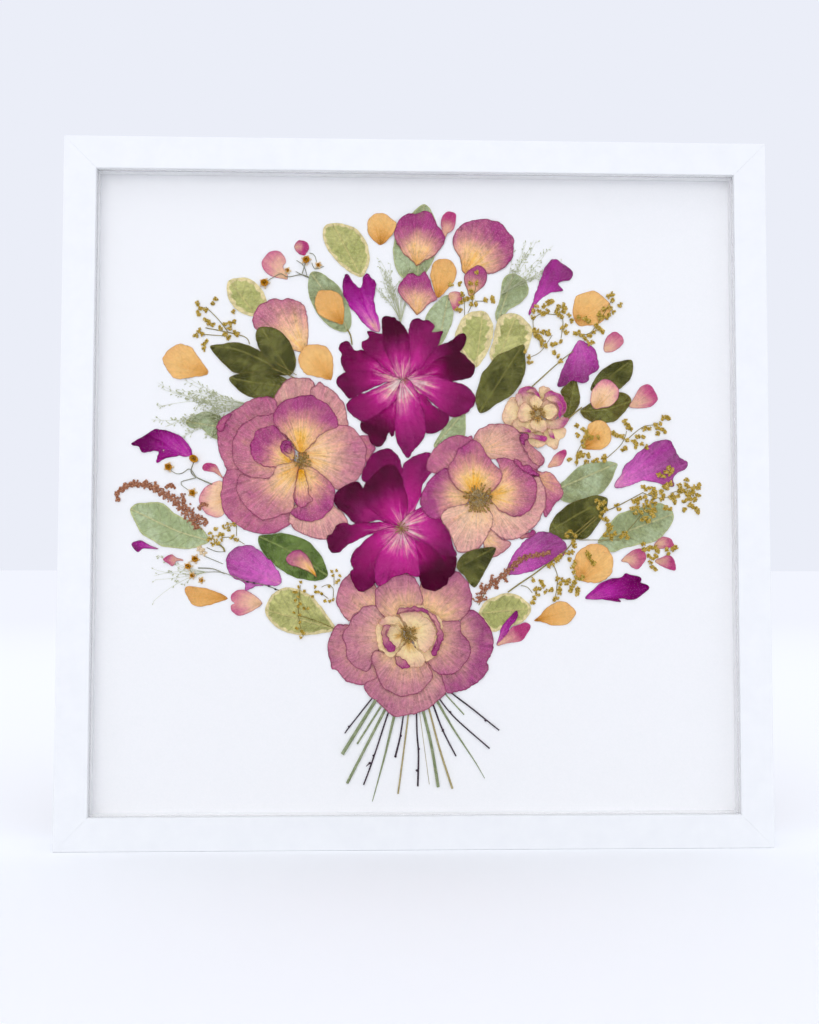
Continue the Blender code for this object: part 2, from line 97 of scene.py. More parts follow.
def new_looks(name, roughness, **sockets):
    """A new material, what adds a node to it, and its shader."""
    looks = bpy.data.materials.new(name)
    looks.use_nodes = True
    looks.node_tree.nodes.clear()
    new = partial(add, looks.node_tree)
    shader = new("BsdfPrincipled", {"Roughness": roughness})
    for key, value in sockets.items():
        shader.inputs[key.replace("_", " ")].default_value = value
    new("OutputMaterial", {"Surface": shader})
    return looks, new, shader


def only(piece):
    """Selects one object and nothing else."""
    bpy.ops.object.select_all(action="DESELECT")
    bpy.context.view_layer.objects.active = piece
    piece.select_set(True)


def apply_all(piece):
    """Applies an object's modifiers, in their order."""
    only(piece)
    for modifier in list(piece.modifiers):
        bpy.ops.object.modifier_apply(modifier=modifier.name)


def settle(piece):
    """Puts the object's place into its mesh."""
    only(piece)
    bpy.ops.object.transform_apply(location=True, rotation=True, scale=True)


def keep(piece, name, looks, slot, *nodes):
    """Names a finished piece, gives it its finish and fixes it to the frame."""
    piece.name = name
    piece.data.name = name
    piece.data.materials.clear()
    piece.data.materials.append(looks)
    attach(piece, "root")
    if nodes:
        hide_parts(*nodes)
    return piece


def from_mesh(name, mesh):
    """A new object in the scene, of this mesh or curve."""
    piece = bpy.data.objects.new(name, mesh)
    bpy.context.scene.collection.objects.link(piece)
    return piece


# ---------------------------------------------------------------- finishes

# How often veins and broad streaks repeat: to the radian, to the mm, and from petal to petal.
VEIN_FAN = (27.0, 0.06, 5.0)
STREAK_FAN = (7.0, 0.035, 3.0)
VEIN_SLANT = -0.75        # how far a leaf's side veins run on for each mm they go out


def petal_looks(name, stops, line, deep, faint, vein=0.3, line_width=1.1, roughness=0.62,
                deep_from=0.25, streak=0.5, texture=1.0):
    """A pressed petal: papery and matt, coloured from its claw to its rim, with fine veins that fan
    out from the claw, a darker dried rim line and small wrinkles, which also get painted shade in the
    colour."""
    looks, new, shader = new_looks(name, roughness, Specular_IOR_Level=0.02)
    grow = new("Attribute", {"attribute_name": "grow"})
    place = new("Attribute", {"attribute_name": "place"})
    tint = new("Attribute", {"attribute_name": "tint"})
    fan = new("SeparateXYZ", {0: grow.outputs["Vector"]})
    at = new("SeparateXYZ", {0: place.outputs["Vector"]})
    hue = new("SeparateXYZ", {0: tint.outputs["Vector"]})
    # Veins: one about every 1.5 mm at 40 mm from the claw, which is 27 to the radian.
    spread = new("VectorMath", {"operation": "MULTIPLY", 0: grow.outputs["Vector"], 1: VEIN_FAN})
    veins = new("TexNoise", {"Scale": 1.0, "Detail": 3.0, "Roughness": 0.65, "Vector": spread})
    rays = new("VectorMath", {"operation": "MULTIPLY", 0: grow.outputs["Vector"], 1: STREAK_FAN})
    streaks = new("TexNoise", {"Scale": 1.0, "Detail": 2.0, "Vector": rays})
    body = new("TexCoord")
    clouds = new("TexNoise", {"Scale": 1 / (9 * MM), "Detail": 4.0, "Roughness": 0.62,
                              "Vector": body.outputs["Object"]})
    # How far the claw's colour reaches is set for each petal.
    start = new("Math", {"operation": "MULTIPLY_ADD", 0: hue.outputs[0], 1: -0.52, 2: 0.52})
    rest = new("Math", {"operation": "SUBTRACT", 0: 1.0, 1: start})
    reach = new("Math", {"operation": "MULTIPLY_ADD", 0: at.outputs[0], 1: rest, 2: start})
    side = new("Math", {"operation": "ABSOLUTE", 0: fan.outputs[0]})
    sided = new("Math", {"operation": "MULTIPLY_ADD", 0: side, 1: 0.16, 2: reach})
    streaked = new("Math", {"operation": "MULTIPLY_ADD", 0: streaks, 1: streak, 2: sided})
    veined = new("Math", {"operation": "MULTIPLY_ADD", 0: veins, 1: vein, 2: streaked})
    clouded = new("Math", {"operation": "MULTIPLY_ADD", 0: clouds, 1: 0.44, 2: veined})
    level = new("Math", {"operation": "SUBTRACT", "use_clamp": True, 0: clouded,
                         1: 0.28 + (vein + streak) / 2})
    main = new("ValToRGB", {"stops": stops, 0: level})
    # Paler and deeper petals of the same flower.
    pale_share = new("Math", {"operation": "MULTIPLY", 0: hue.outputs[2], 1: streaks})
    pale_more = new("Math", {"operation": "MULTIPLY", "use_clamp": True, 0: pale_share, 1: 1.5})
    paler = new("Mix", {"data_type": "RGBA", 0: pale_more, 6: main, 7: colour(faint)})
    outer = new("MapRange", {"interpolation_type": "SMOOTHSTEP", 0: at.outputs[0], 1: deep_from,
                             2: deep_from + 0.6})
    near = new("MapRange", {"interpolation_type": "SMOOTHSTEP", 0: at.outputs[1], 1: 0.0, 2: 9.0,
                            3: 1.1, 4: 0.0})
    sides = new("Math", {"operation": "MULTIPLY", 0: near, 1: at.outputs[0]})
    rims = new("Math", {"operation": "MAXIMUM", 0: outer, 1: sides})
    deep_share = new("Math", {"operation": "MULTIPLY", 0: hue.outputs[1], 1: rims})
    deep_cloud = new("Math", {"operation": "MULTIPLY_ADD", 0: clouds, 1: 1.3, 2: 0.35})
    deep_more = new("Math", {"operation": "MULTIPLY", "use_clamp": True, 0: deep_share, 1: deep_cloud})
    deeper = new("Mix", {"data_type": "RGBA", 0: deep_more, 6: paler.outputs[2], 7: colour(deep)})
    # The dried rim.
    wander = new("Math", {"operation": "MULTIPLY_ADD", 0: clouds, 1: 2.2 * line_width,
                          2: -0.35 * line_width})
    rim = new("MapRange", {"interpolation_type": "SMOOTHSTEP", 0: at.outputs[1], 1: 0.0, 2: wander,
                           3: 1.0, 4: 0.0})
    rim_share = new("Math", {"operation": "MULTIPLY", 0: rim, 1: 0.8})
    lined = new("Mix", {"data_type": "RGBA", 0: rim_share, 6: deeper.outputs[2], 7: colour(line)})
    # Veins and paper grain also change how light or dark it is, partly as their own tone and partly as
    # painted shade of the relief that the bump raises from the same noise; the creases add only painted
    # shade and light.
    grain = new("TexNoise", {"Scale": 1 / (1.3 * MM), "Detail": 3.0, "Vector": body.outputs["Object"]})
    creases = new("TexNoise", {"Scale": 1 / (4.5 * MM), "Detail": 2.0, "Distortion": 1.2,
                               "Vector": body.outputs["Object"]})
    shade = new("Math", {"operation": "MULTIPLY_ADD", 0: veins, 1: 1.2 * texture, 2: 1 - 1.18 * texture})
    grained = new("Math", {"operation": "MULTIPLY_ADD", 0: grain, 1: 0.6 * texture, 2: shade})
    # Painted shade: the creases that the bump raises also darken and lighten the colour.
    tone_and_painted_crease_shade = new("Math", {"operation": "MULTIPLY_ADD", 0: creases, 1: 0.8 * texture, 2: grained})
    final = new("VectorMath", {"operation": "SCALE", "Scale": tone_and_painted_crease_shade, 0: lined.outputs[2]})
    wire(shader, "Base Color", final)
    relief = new("Math", {"operation": "MULTIPLY_ADD", 0: veins, 1: 0.8, 2: grain})
    folds = new("Math", {"operation": "MULTIPLY_ADD", 0: creases, 1: 2.2, 2: relief})
    bump = new("Bump", {"Strength": 1.0, "Distance": 0.6 * MM, "Height": folds})
    wire(shader, "Normal", bump)
    return looks


def leaf_looks(name, body, shade, rib, margin, spacing, contrast=0.5, crinkle_shade=1.1):
    """A pressed leaf: satin and leathery, mottled, with a midrib, side veins that leave it at a
    slant and, on variegated leaves, a ragged pale margin; its crinkles get painted shade and highlights in
    the colour."""
    looks, new, shader = new_looks(name, 0.5, Specular_IOR_Level=0.08)
    grow = new("Attribute", {"attribute_name": "grow"})
    place = new("Attribute", {"attribute_name": "place"})
    tint = new("Attribute", {"attribute_name": "tint"})
    blade = new("SeparateXYZ", {0: grow.outputs["Vector"]})
    at = new("SeparateXYZ", {0: place.outputs["Vector"]})
    hue = new("SeparateXYZ", {0: tint.outputs["Vector"]})
    where = new("TexCoord")
    clouds = new("TexNoise", {"Scale": 1 / (11 * MM), "Detail": 4.0, "Roughness": 0.6,
                              "Vector": where.outputs["Object"]})
    fine = new("TexNoise", {"Scale": 1 / (1.8 * MM), "Detail": 3.0, "Vector": where.outputs["Object"]})
    away = new("Math", {"operation": "ABSOLUTE", 0: blade.outputs[0]})
    slant = new("Math", {"operation": "MULTIPLY_ADD", 0: away, 1: VEIN_SLANT, 2: blade.outputs[1]})
    wobble = new("Math", {"operation": "MULTIPLY_ADD", 0: clouds, 1: spacing * 0.9, 2: slant})
    turns = new("Math", {"operation": "DIVIDE", 0: wobble, 1: spacing})
    saw = new("Math", {"operation": "PINGPONG", 0: turns, 1: 0.5})
    side = new("MapRange", {"interpolation_type": "SMOOTHSTEP", 0: saw, 1: 0.0, 2: 0.16, 3: 1.0, 4: 0.0})
    middle = new("MapRange", {"interpolation_type": "SMOOTHSTEP", 0: away, 1: 0.25, 2: 0.8, 3: 1.0,
                              4: 0.0})
    mottled = new("MapRange", {"interpolation_type": "SMOOTHSTEP", 0: clouds, 1: 0.38, 2: 0.62})
    main = new("Mix", {"data_type": "RGBA", 0: mottled, 6: colour(body), 7: colour(shade)})
    warm_share = new("Math", {"operation": "MULTIPLY", 0: hue.outputs[0], 1: mottled})
    warm = new("Mix", {"data_type": "RGBA", 0: warm_share, 6: main.outputs[2], 7: colour("6B5A26")})
    between = new("Math", {"operation": "MULTIPLY", 0: side, 1: contrast * 0.5})
    sided = new("Mix", {"data_type": "RGBA", 0: between, 6: warm.outputs[2], 7: colour(rib)})
    # The pale margin of a variegated leaf runs in along the side veins.
    teeth = new("Math", {"operation": "MULTIPLY", 0: saw, 1: 9.0})
    edge = new("Math", {"operation": "MULTIPLY_ADD", 0: clouds, 1: 9.0, 2: teeth})
    width = new("Math", {"operation": "MULTIPLY", 0: edge, 1: hue.outputs[2]})
    wide = new("Math", {"operation": "ADD", 0: width, 1: 0.5})
    close = new("Math", {"operation": "SUBTRACT", 0: wide, 1: at.outputs[1]})
    rim = new("MapRange", {"interpolation_type": "SMOOTHSTEP", 0: close, 1: -0.3, 2: 0.5})
    rim_share = new("Math", {"operation": "MULTIPLY", 0: rim, 1: 0.85})
    edged = new("Mix", {"data_type": "RGBA", 0: rim_share, 6: sided.outputs[2], 7: colour(margin)})
    ribbed = new("Math", {"operation": "MULTIPLY", 0: middle, 1: 0.75})
    ribs = new("Mix", {"data_type": "RGBA", 0: ribbed, 6: edged.outputs[2], 7: colour(rib)})
    # Painted shade and highlights: the crinkles that the bump raises also darken and lighten the colour,
    # most of all on the dark leaves.
    wrinkles = new("TexNoise", {"Scale": 1 / (5 * MM), "Detail": 2.0, "Distortion": 1.4,
                                "Vector": where.outputs["Object"]})
    grained = new("Math", {"operation": "MULTIPLY_ADD", 0: fine, 1: 0.8, 2: 0.6 - crinkle_shade / 2})
    light = new("Math", {"operation": "MULTIPLY_ADD", 0: wrinkles, 1: crinkle_shade, 2: grained})
    dark = new("Math", {"operation": "MULTIPLY_ADD", 0: hue.outputs[1], 1: -0.5, 2: light})
    final = new("VectorMath", {"operation": "SCALE", "Scale": dark, 0: ribs.outputs[2]})
    wire(shader, "Base Color", final)
    raised = new("Math", {"operation": "MULTIPLY_ADD", 0: fine, 1: 0.5, 2: side})
    relief = new("Math", {"operation": "ADD", 0: raised, 1: middle})
    rumpled = new("Math", {"operation": "MULTIPLY_ADD", 0: wrinkles, 1: 3.5, 2: relief})
    bump = new("Bump", {"Strength": 0.8, "Distance": 0.5 * MM, "Height": rumpled})
    wire(shader, "Normal", bump)
    return looks


def dried_looks(name, stops, size, roughness=0.75):
    """Dried stalks, florets, seeds and stamens: matt, each bit a little lighter or darker."""
    looks, new, shader = new_looks(name, roughness, Specular_IOR_Level=0.06)
    where = new("TexCoord")
    mottle = new("TexNoise", {"Scale": 1 / (size * MM), "Detail": 3.0, "Roughness": 0.6,
                              "Vector": where.outputs["Object"]})
    main = new("ValToRGB", {"stops": stops, 0: mottle})
    grain = new("TexNoise", {"Scale": 1 / (0.5 * MM), "Detail": 2.0, "Vector": where.outputs["Object"]})
    bump = new("Bump", {"Strength": 0.6, "Distance": 0.15 * MM, "Height": grain})
    wire(shader, "Base Color", main)
    wire(shader, "Normal", bump)
    return looks


def plain_looks(name, light, dark, size, roughness, bump_mm, **sockets):
    """A made material: nearly one colour, with the faint unevenness of how its surface was made."""
    looks, new, shader = new_looks(name, roughness, **sockets)
    where = new("TexCoord")
    uneven = new("TexNoise", {"Scale": 1 / (size * MM), "Detail": 4.0, "Roughness": 0.6,
                              "Vector": where.outputs["Object"]})
    main = new("ValToRGB", {"stops": [(0.3, dark), (0.7, light)], 0: uneven})
    bump = new("Bump", {"Strength": 0.5, "Distance": bump_mm * MM, "Height": uneven})
    wire(shader, "Base Color", main)
    wire(shader, "Normal", bump)
    return looks


# Garden rose petals, pressed between sheets: amber claw, peach heart, dusty mauve rim.
ROSE = petal_looks("pressed_rose_petal", [(0.0, "E89A0C"), (0.14, "F0B234"), (0.27, "F4C268"),
                   (0.4, "F4C68A"), (0.55, "EAB088"), (0.73, "CE8A86"), (0.93, "BC5E84")],
                   "742048", "A2427A", "EFC6A6", line_width=1.3)
# The same rose picked later: dustier, with only a peach flush at its claw.
DUSKY = petal_looks("pressed_dusky_rose_petal", [(0.0, "EABA5A"), (0.24, "F2C88A"), (0.42, "ECBC8C"),
                    (0.6, "DAA28A"), (0.8, "C88488"), (0.96, "B46484")], "742048", "9C4878", "ECC4A8",
                    line_width=1.3)
# Peony petals, pressed: silky magenta that dries almost black at the tips.
PEONY = petal_looks("pressed_peony_petal", [(0.03, "FFF2E2"), (0.1, "F6C4AC"), (0.2, "E486AC"),
                    (0.36, "C41888"), (0.6, "9C0462"), (0.88, "740046")], "460024", "440022", "CA3494",
                    vein=0.46, line_width=0.8, roughness=0.5, streak=0.8)
# Loose magenta petals, pressed: brighter, with a paler claw.
MAGENTA = petal_looks("pressed_magenta_petal", [(0.0, "F2BC8C"), (0.14, "EAA0B4"), (0.32, "D05CB0"),
                      (0.55, "B42A9C"), (0.8, "98147C"), (1.0, "740058")], "60004A", "540040", "E08CCC",
                      vein=0.4, line_width=0.8, roughness=0.5, streak=0.7)
# Yellow rose petals, pressed: smooth, apricot, with an ochre claw.
GOLD = petal_looks("pressed_apricot_petal", [(0.0, "A4641E"), (0.16, "D89440"), (0.45, "EEB266"),
                   (0.75, "F4C27A"), (1.0, "EEB674")], "C8884A", "D08E46", "F8D6A0",
                   vein=0.12, line_width=0.8, texture=0.35)
# Blush petals, pressed: cream to shell pink.
BLUSH = petal_looks("pressed_blush_petal", [(0.0, "E9B070"), (0.25, "F5C698"), (0.5, "F6C8A4"),
                    (0.75, "E8A2A0"), (1.0, "C9628C")], "B4507C", "B84078", "F9D2B0",
                    vein=0.2, line_width=0.9, texture=0.5)
# Cream petals with a magenta flush at the rim, pressed.
CREAM = petal_looks("pressed_cream_petal", [(0.0, "D0922A"), (0.14, "ECC070"), (0.36, "FDE2A6"),
                    (0.75, "FBDCA8"), (1.0, "F2C8A0")], "B98466", "B4408A", "FDEABC",
                    vein=0.3, line_width=0.8, deep_from=0.3, streak=0.7, texture=0.6)
# Sage leaves, pressed: grey green, dry.
SAGE = leaf_looks("pressed_sage_leaf", "B4C198", "A2B080", "C6C490", "BEC28C", 7.0, 0.3, 0.45)
# Variegated leaves, pressed: green with a ragged cream margin.
PALE = leaf_looks("pressed_variegated_leaf", "C6C47E", "B0B26C", "CEC482", "ECDAA6", 6.0, 0.3, 0.6)
# Dark leaves, pressed: olive, leathery.
DARK = leaf_looks("pressed_dark_leaf", "6A6A34", "464618", "7E7A3C", "6A5C2A", 5.0, 0.25, 1.6)
# Leaves pressed young: still green, mottled olive.
GREEN = leaf_looks("pressed_green_leaf", "6E8442", "4C602A", "8C9A54", "6A7C34", 5.0, 0.25, 1.3)

# Flattened green stalks, dark twigs and straw stalks, dried.
STALK = dried_looks("dried_green_stalk", [(0.25, "74805A"), (0.55, "929C78"), (0.8, "AEB498")], 3.0)
TWIG = dried_looks("dried_dark_twig", [(0.3, "33272F"), (0.6, "4C3D48"), (0.85, "6E606A")], 1.5)
STRAW = dried_looks("dried_straw_stalk", [(0.3, "9A8C5E"), (0.7, "BDB084")], 2.0)
WIRY = dried_looks("dried_wiry_stem", [(0.3, "6E6C52"), (0.7, "9B9A80")], 2.0)
OLIVE = dried_looks("dried_olive_stem", [(0.3, "7A6B30"), (0.7, "9C8F50")], 2.0)
# Tiny yellow flower heads, dried to old gold and olive.
FLORET = dried_looks("dried_gold_floret", [(0.3, "74601E"), (0.43, "AE9438"), (0.55, "DABA52"),
                     (0.7, "F4E4A4")], 1.0)
# Amaranth grains, dried: red brown.
GRAIN = dried_looks("dried_amaranth", [(0.3, "6A3A2A"), (0.5, "A66A4C"), (0.7, "DCAE8C")], 0.7)
# Grass heads, dried: pale grey green.
GRASS = dried_looks("dried_grass", [(0.3, "AEB48C"), (0.7, "DADCBC")], 1.5)
# Waxflower cups, dried amber, and their papery sepals.
AMBER = dried_looks("dried_waxflower_cup", [(0.3, "9A5E08"), (0.55, "C98A14"), (0.8, "E2AE40")], 1.1, 0.5)
SEPAL = dried_looks("dried_cream_sepal", [(0.3, "D9BC8C"), (0.7, "F2E2C4")], 1.5)
# Stamens: ochre threads with brown and straw anthers.
STAMEN = dried_looks("dried_stamen", [(0.3, "6A4C20"), (0.5, "A6823C"), (0.75, "DCC080")], 0.8)
PISTIL = dried_looks("dried_pistil", [(0.3, "8A7450"), (0.55, "B9A47C"), (0.8, "DDCDA8")], 0.9)

# Satin water-based paint, brushed on wood: white, with the faintest brush drag.
PAINT = plain_looks("painted_wood", "F3F4F4", "EFF0F1", 14.0, 0.42, 0.05, Specular_IOR_Level=0.4)
# Acid-free cotton art board: matt white, with a paper tooth of about 0.6 mm.
BOARD = plain_looks("cotton_art_board", "F9F9FA", "F5F6F7", 0.9, 0.9, 0.06, Specular_IOR_Level=0.2)
# Foam-cored white spacer strip: matt.
SPACER = plain_looks("foam_spacer_strip", "FBFBFC", "F6F6F7", 2.0, 0.8, 0.05, Specular_IOR_Level=0.3)
# Hardboard, pressed from wood fibre: brown, with short fibres.
HARDBOARD = plain_looks("hardboard", "9A6E45", "7C5533", 1.2, 0.75, 0.12, Specular_IOR_Level=0.3)
# Zinc-plated steel sheet, stamped: bright grey with a fine grain.
STEEL = plain_looks("zinc_plated_steel", "B9BBBE", "A2A4A8", 1.5, 0.34, 0.03, Metallic=1.0)
# Moulded black-brown rubber.
RUBBER = plain_looks("moulded_rubber", "3A3634", "2C2927", 0.8, 0.7, 0.03, Specular_IOR_Level=0.3)

# Picture glass, float, with an anti-reflective coating on both sides, which leaves so little gloss that
# it reflects as glass of IOR 1.1 would. It casts no shadow, so that lamps light the flowers through it.
GLASS = new_looks("float_glass", 0.0, Base_Color=colour("FFFFFF"), IOR=1.1, Transmission_Weight=1.0)[0]


# ---------------------------------------------------------------- laying flowers on the heap

def grow_over(part, reach, combine):
    """For each cell, the highest or the mean of the cells up to reach away."""
    for axis in (0, 1):
        width = [(reach, reach) if a == axis else (0, 0) for a in (0, 1)]
        padded = np.pad(part, width, mode="edge")
        windows = np.lib.stride_tricks.sliding_window_view(padded, 2 * reach + 1, axis=axis)
        part = combine(windows, axis=-1)
    return part


def under(xs, zs, drape):
    """How high the heap is at these places, smoothed so that what is laid on it drapes."""
    reach = max(1, int(round(drape / CELL)))
    margin = 2 * reach + 2
    low_x = max(0, int((xs.min() + REACH) / CELL) - margin)
    high_x = min(heap.shape[1], int((xs.max() + REACH) / CELL) + margin + 1)
    low_z = max(0, int((zs.min() + REACH) / CELL) - margin)
    high_z = min(heap.shape[0], int((zs.max() + REACH) / CELL) + margin + 1)
    part = grow_over(heap[low_z:high_z, low_x:high_x], reach, np.max)
    part = grow_over(part, reach, np.mean)
    col = np.clip((xs + REACH) / CELL - 0.5 - low_x, 0, part.shape[1] - 1.001)
    row = np.clip((zs + REACH) / CELL - 0.5 - low_z, 0, part.shape[0] - 1.001)
    c, r = col.astype(int), row.astype(int)
    fc, fr = col - c, row - r
    return ((part[r, c] * (1 - fc) + part[r, c + 1] * fc) * (1 - fr)
            + (part[r + 1, c] * (1 - fc) + part[r + 1, c + 1] * fc) * fr)


def mark(xs, zs, tops):
    """Adds what has just been laid to the heap."""
    col = np.clip(((xs + REACH) / CELL).astype(int), 0, heap.shape[1] - 1)
    row = np.clip(((zs + REACH) / CELL).astype(int), 0, heap.shape[0] - 1)
    np.maximum.at(heap, (row, col), tops)


def finer(grid, times, wrap):
    """A grid with more rows between its own. With wrap, the last row runs on into the first."""
    nxt = np.roll(grid, -1, axis=0) if wrap else grid[1:]
    here = grid if wrap else grid[:-1]
    steps = (np.arange(times) / times).reshape((1, times) + (1,) * (grid.ndim - 1))
    between = here[:, None] * (1 - steps) + nxt[:, None] * steps
    return between.reshape((-1,) + grid.shape[1:])


def disc(points, rings):
    """A flat disc of rings, from which every petal and leaf is shaped."""
    bpy.ops.object.select_all(action="DESELECT")
    bpy.ops.mesh.primitive_circle_add(vertices=points, radius=1.0, fill_type="NGON")
    piece = bpy.context.object
    bpy.ops.object.mode_set(mode="EDIT")
    bpy.ops.mesh.select_mode(type="FACE")
    bpy.ops.mesh.select_all(action="SELECT")
    for ring in range(rings - 1):
        # Rings are closer together near the rim, where a petal curls.
        step = (1.0 - 0.55 * (1 - ring / rings)) / (rings * 0.75)
        bpy.ops.mesh.inset(thickness=step, use_even_offset=True)
    bpy.ops.mesh.poke()
    bpy.ops.object.mode_set(mode="OBJECT")
    places = np.array([v.co for v in piece.data.vertices])
    far = np.hypot(places[:, 0], places[:, 1])
    levels = sorted(set(np.round(far, 3)), reverse=True)
    ring_of = np.array([levels.index(value) for value in np.round(far, 3)])
    turn = np.round(np.arctan2(places[:, 1], places[:, 0]) / (2 * pi) * points).astype(int) % points
    mesh = piece.data.copy()
    bpy.data.objects.remove(piece)
    return {"mesh": mesh, "points": points, "levels": np.array(levels), "ring": ring_of, "turn": turn}


FINE = disc(96, 15)
COARSE = disc(56, 9)
LARGE = 24.0              # petals and leaves over this size are shaped from the finer disc
LOBES = 7                 # waves in a petal's relief, counted all the way round its claw,
PLEATS = 21               # and its narrower pleats
SIDE_RIBS = 6.0           # mm from one side rib of a leaf to the next, in its relief


def smooth(points, count, closed):
    """A Catmull-Rom curve through the points, as count evenly spaced places."""
    pts = [Vector(p) for p in points]
    n, between = len(pts), 8
    line = []
    for i in range(n if closed else n - 1):
        a = pts[i - 1] if closed or i else pts[0]
        b, c = pts[i], pts[(i + 1) % n]
        d = pts[(i + 2) % n] if closed or i + 2 < n else pts[-1]
        for k in range(between):
            t = k / between
            line.append(0.5 * (2 * b + (c - a) * t + (2 * a - 5 * b + 4 * c - d) * t * t
                               + (3 * b - a - 3 * c + d) * t ** 3))
    line.append(pts[0] if closed else pts[-1])
    line = np.array([tuple(p) for p in line])
    gone = np.concatenate([[0], np.cumsum(np.linalg.norm(np.diff(line, axis=0), axis=1))])
    wanted = np.linspace(0, gone[-1], count, endpoint=not closed)
    return np.stack([np.interp(wanted, gone, line[:, k]) for k in range(line.shape[1])], axis=1)


def area(loop):
    """The area inside an outline, below zero when it runs clockwise."""
    nxt = np.roll(loop, -1, axis=0)
    return (loop[:, 0] * nxt[:, 1] - nxt[:, 0] * loop[:, 1]).sum() / 2


def heart_of(loop):
    """A place inside the outline that sees as much of it as it can."""
    nxt = np.roll(loop, -1, axis=0)
    cross = loop[:, 0] * nxt[:, 1] - nxt[:, 0] * loop[:, 1]
    middle = ((loop + nxt) * cross[:, None]).sum(axis=0) / (3 * cross.sum())
    best = None
    for share in (0.0, 0.2, 0.4, 0.6):
        for corner in loop[:: max(1, len(loop) // 24)]:
            spot = middle + (corner - middle) * share
            a, b = loop - spot, nxt - spot
            turned = a[:, 0] * b[:, 1] - a[:, 1] * b[:, 0]
            score = (turned <= 0).sum() + 0.5 * share
            if best is None or score < best[0]:
                best = (score, spot)
    return best[1]


def outward(loop):
    """The way out from an outline at each of its corners."""
    ahead = np.roll(loop, -1, axis=0) - np.roll(loop, 1, axis=0)
    out = np.stack([ahead[:, 1], -ahead[:, 0]], axis=1)
    return out / (np.linalg.norm(out, axis=1)[:, None] + 1e-9)


def wander(loop, size, amount, seed):
    """Moves an outline in and out a little, in waves of a size, as a real rim runs."""
    push = [noise.noise(Vector((x / size, z / size, seed))) for x, z in loop]
    return loop + outward(loop) * np.array(push)[:, None] * amount


def along_rib(points, rib):
    """For each point: how far across from the midrib, and how far along it."""
    line = smooth(rib, 40, False)
    gone = np.concatenate([[0], np.cumsum(np.linalg.norm(np.diff(line, axis=0), axis=1))])
    apart = points[:, None, :] - line[None, :, :]
    near = np.argmin((apart ** 2).sum(-1), axis=1)
    ahead = np.gradient(line, axis=0)
    ahead /= np.linalg.norm(ahead, axis=1)[:, None]
    gap = apart[np.arange(len(points)), near]
    side = gap[:, 0] * ahead[near, 1] - gap[:, 1] * ahead[near, 0]
    past = (gap * ahead[near]).sum(-1)
    return side, gone[near] + past, gone[-1]


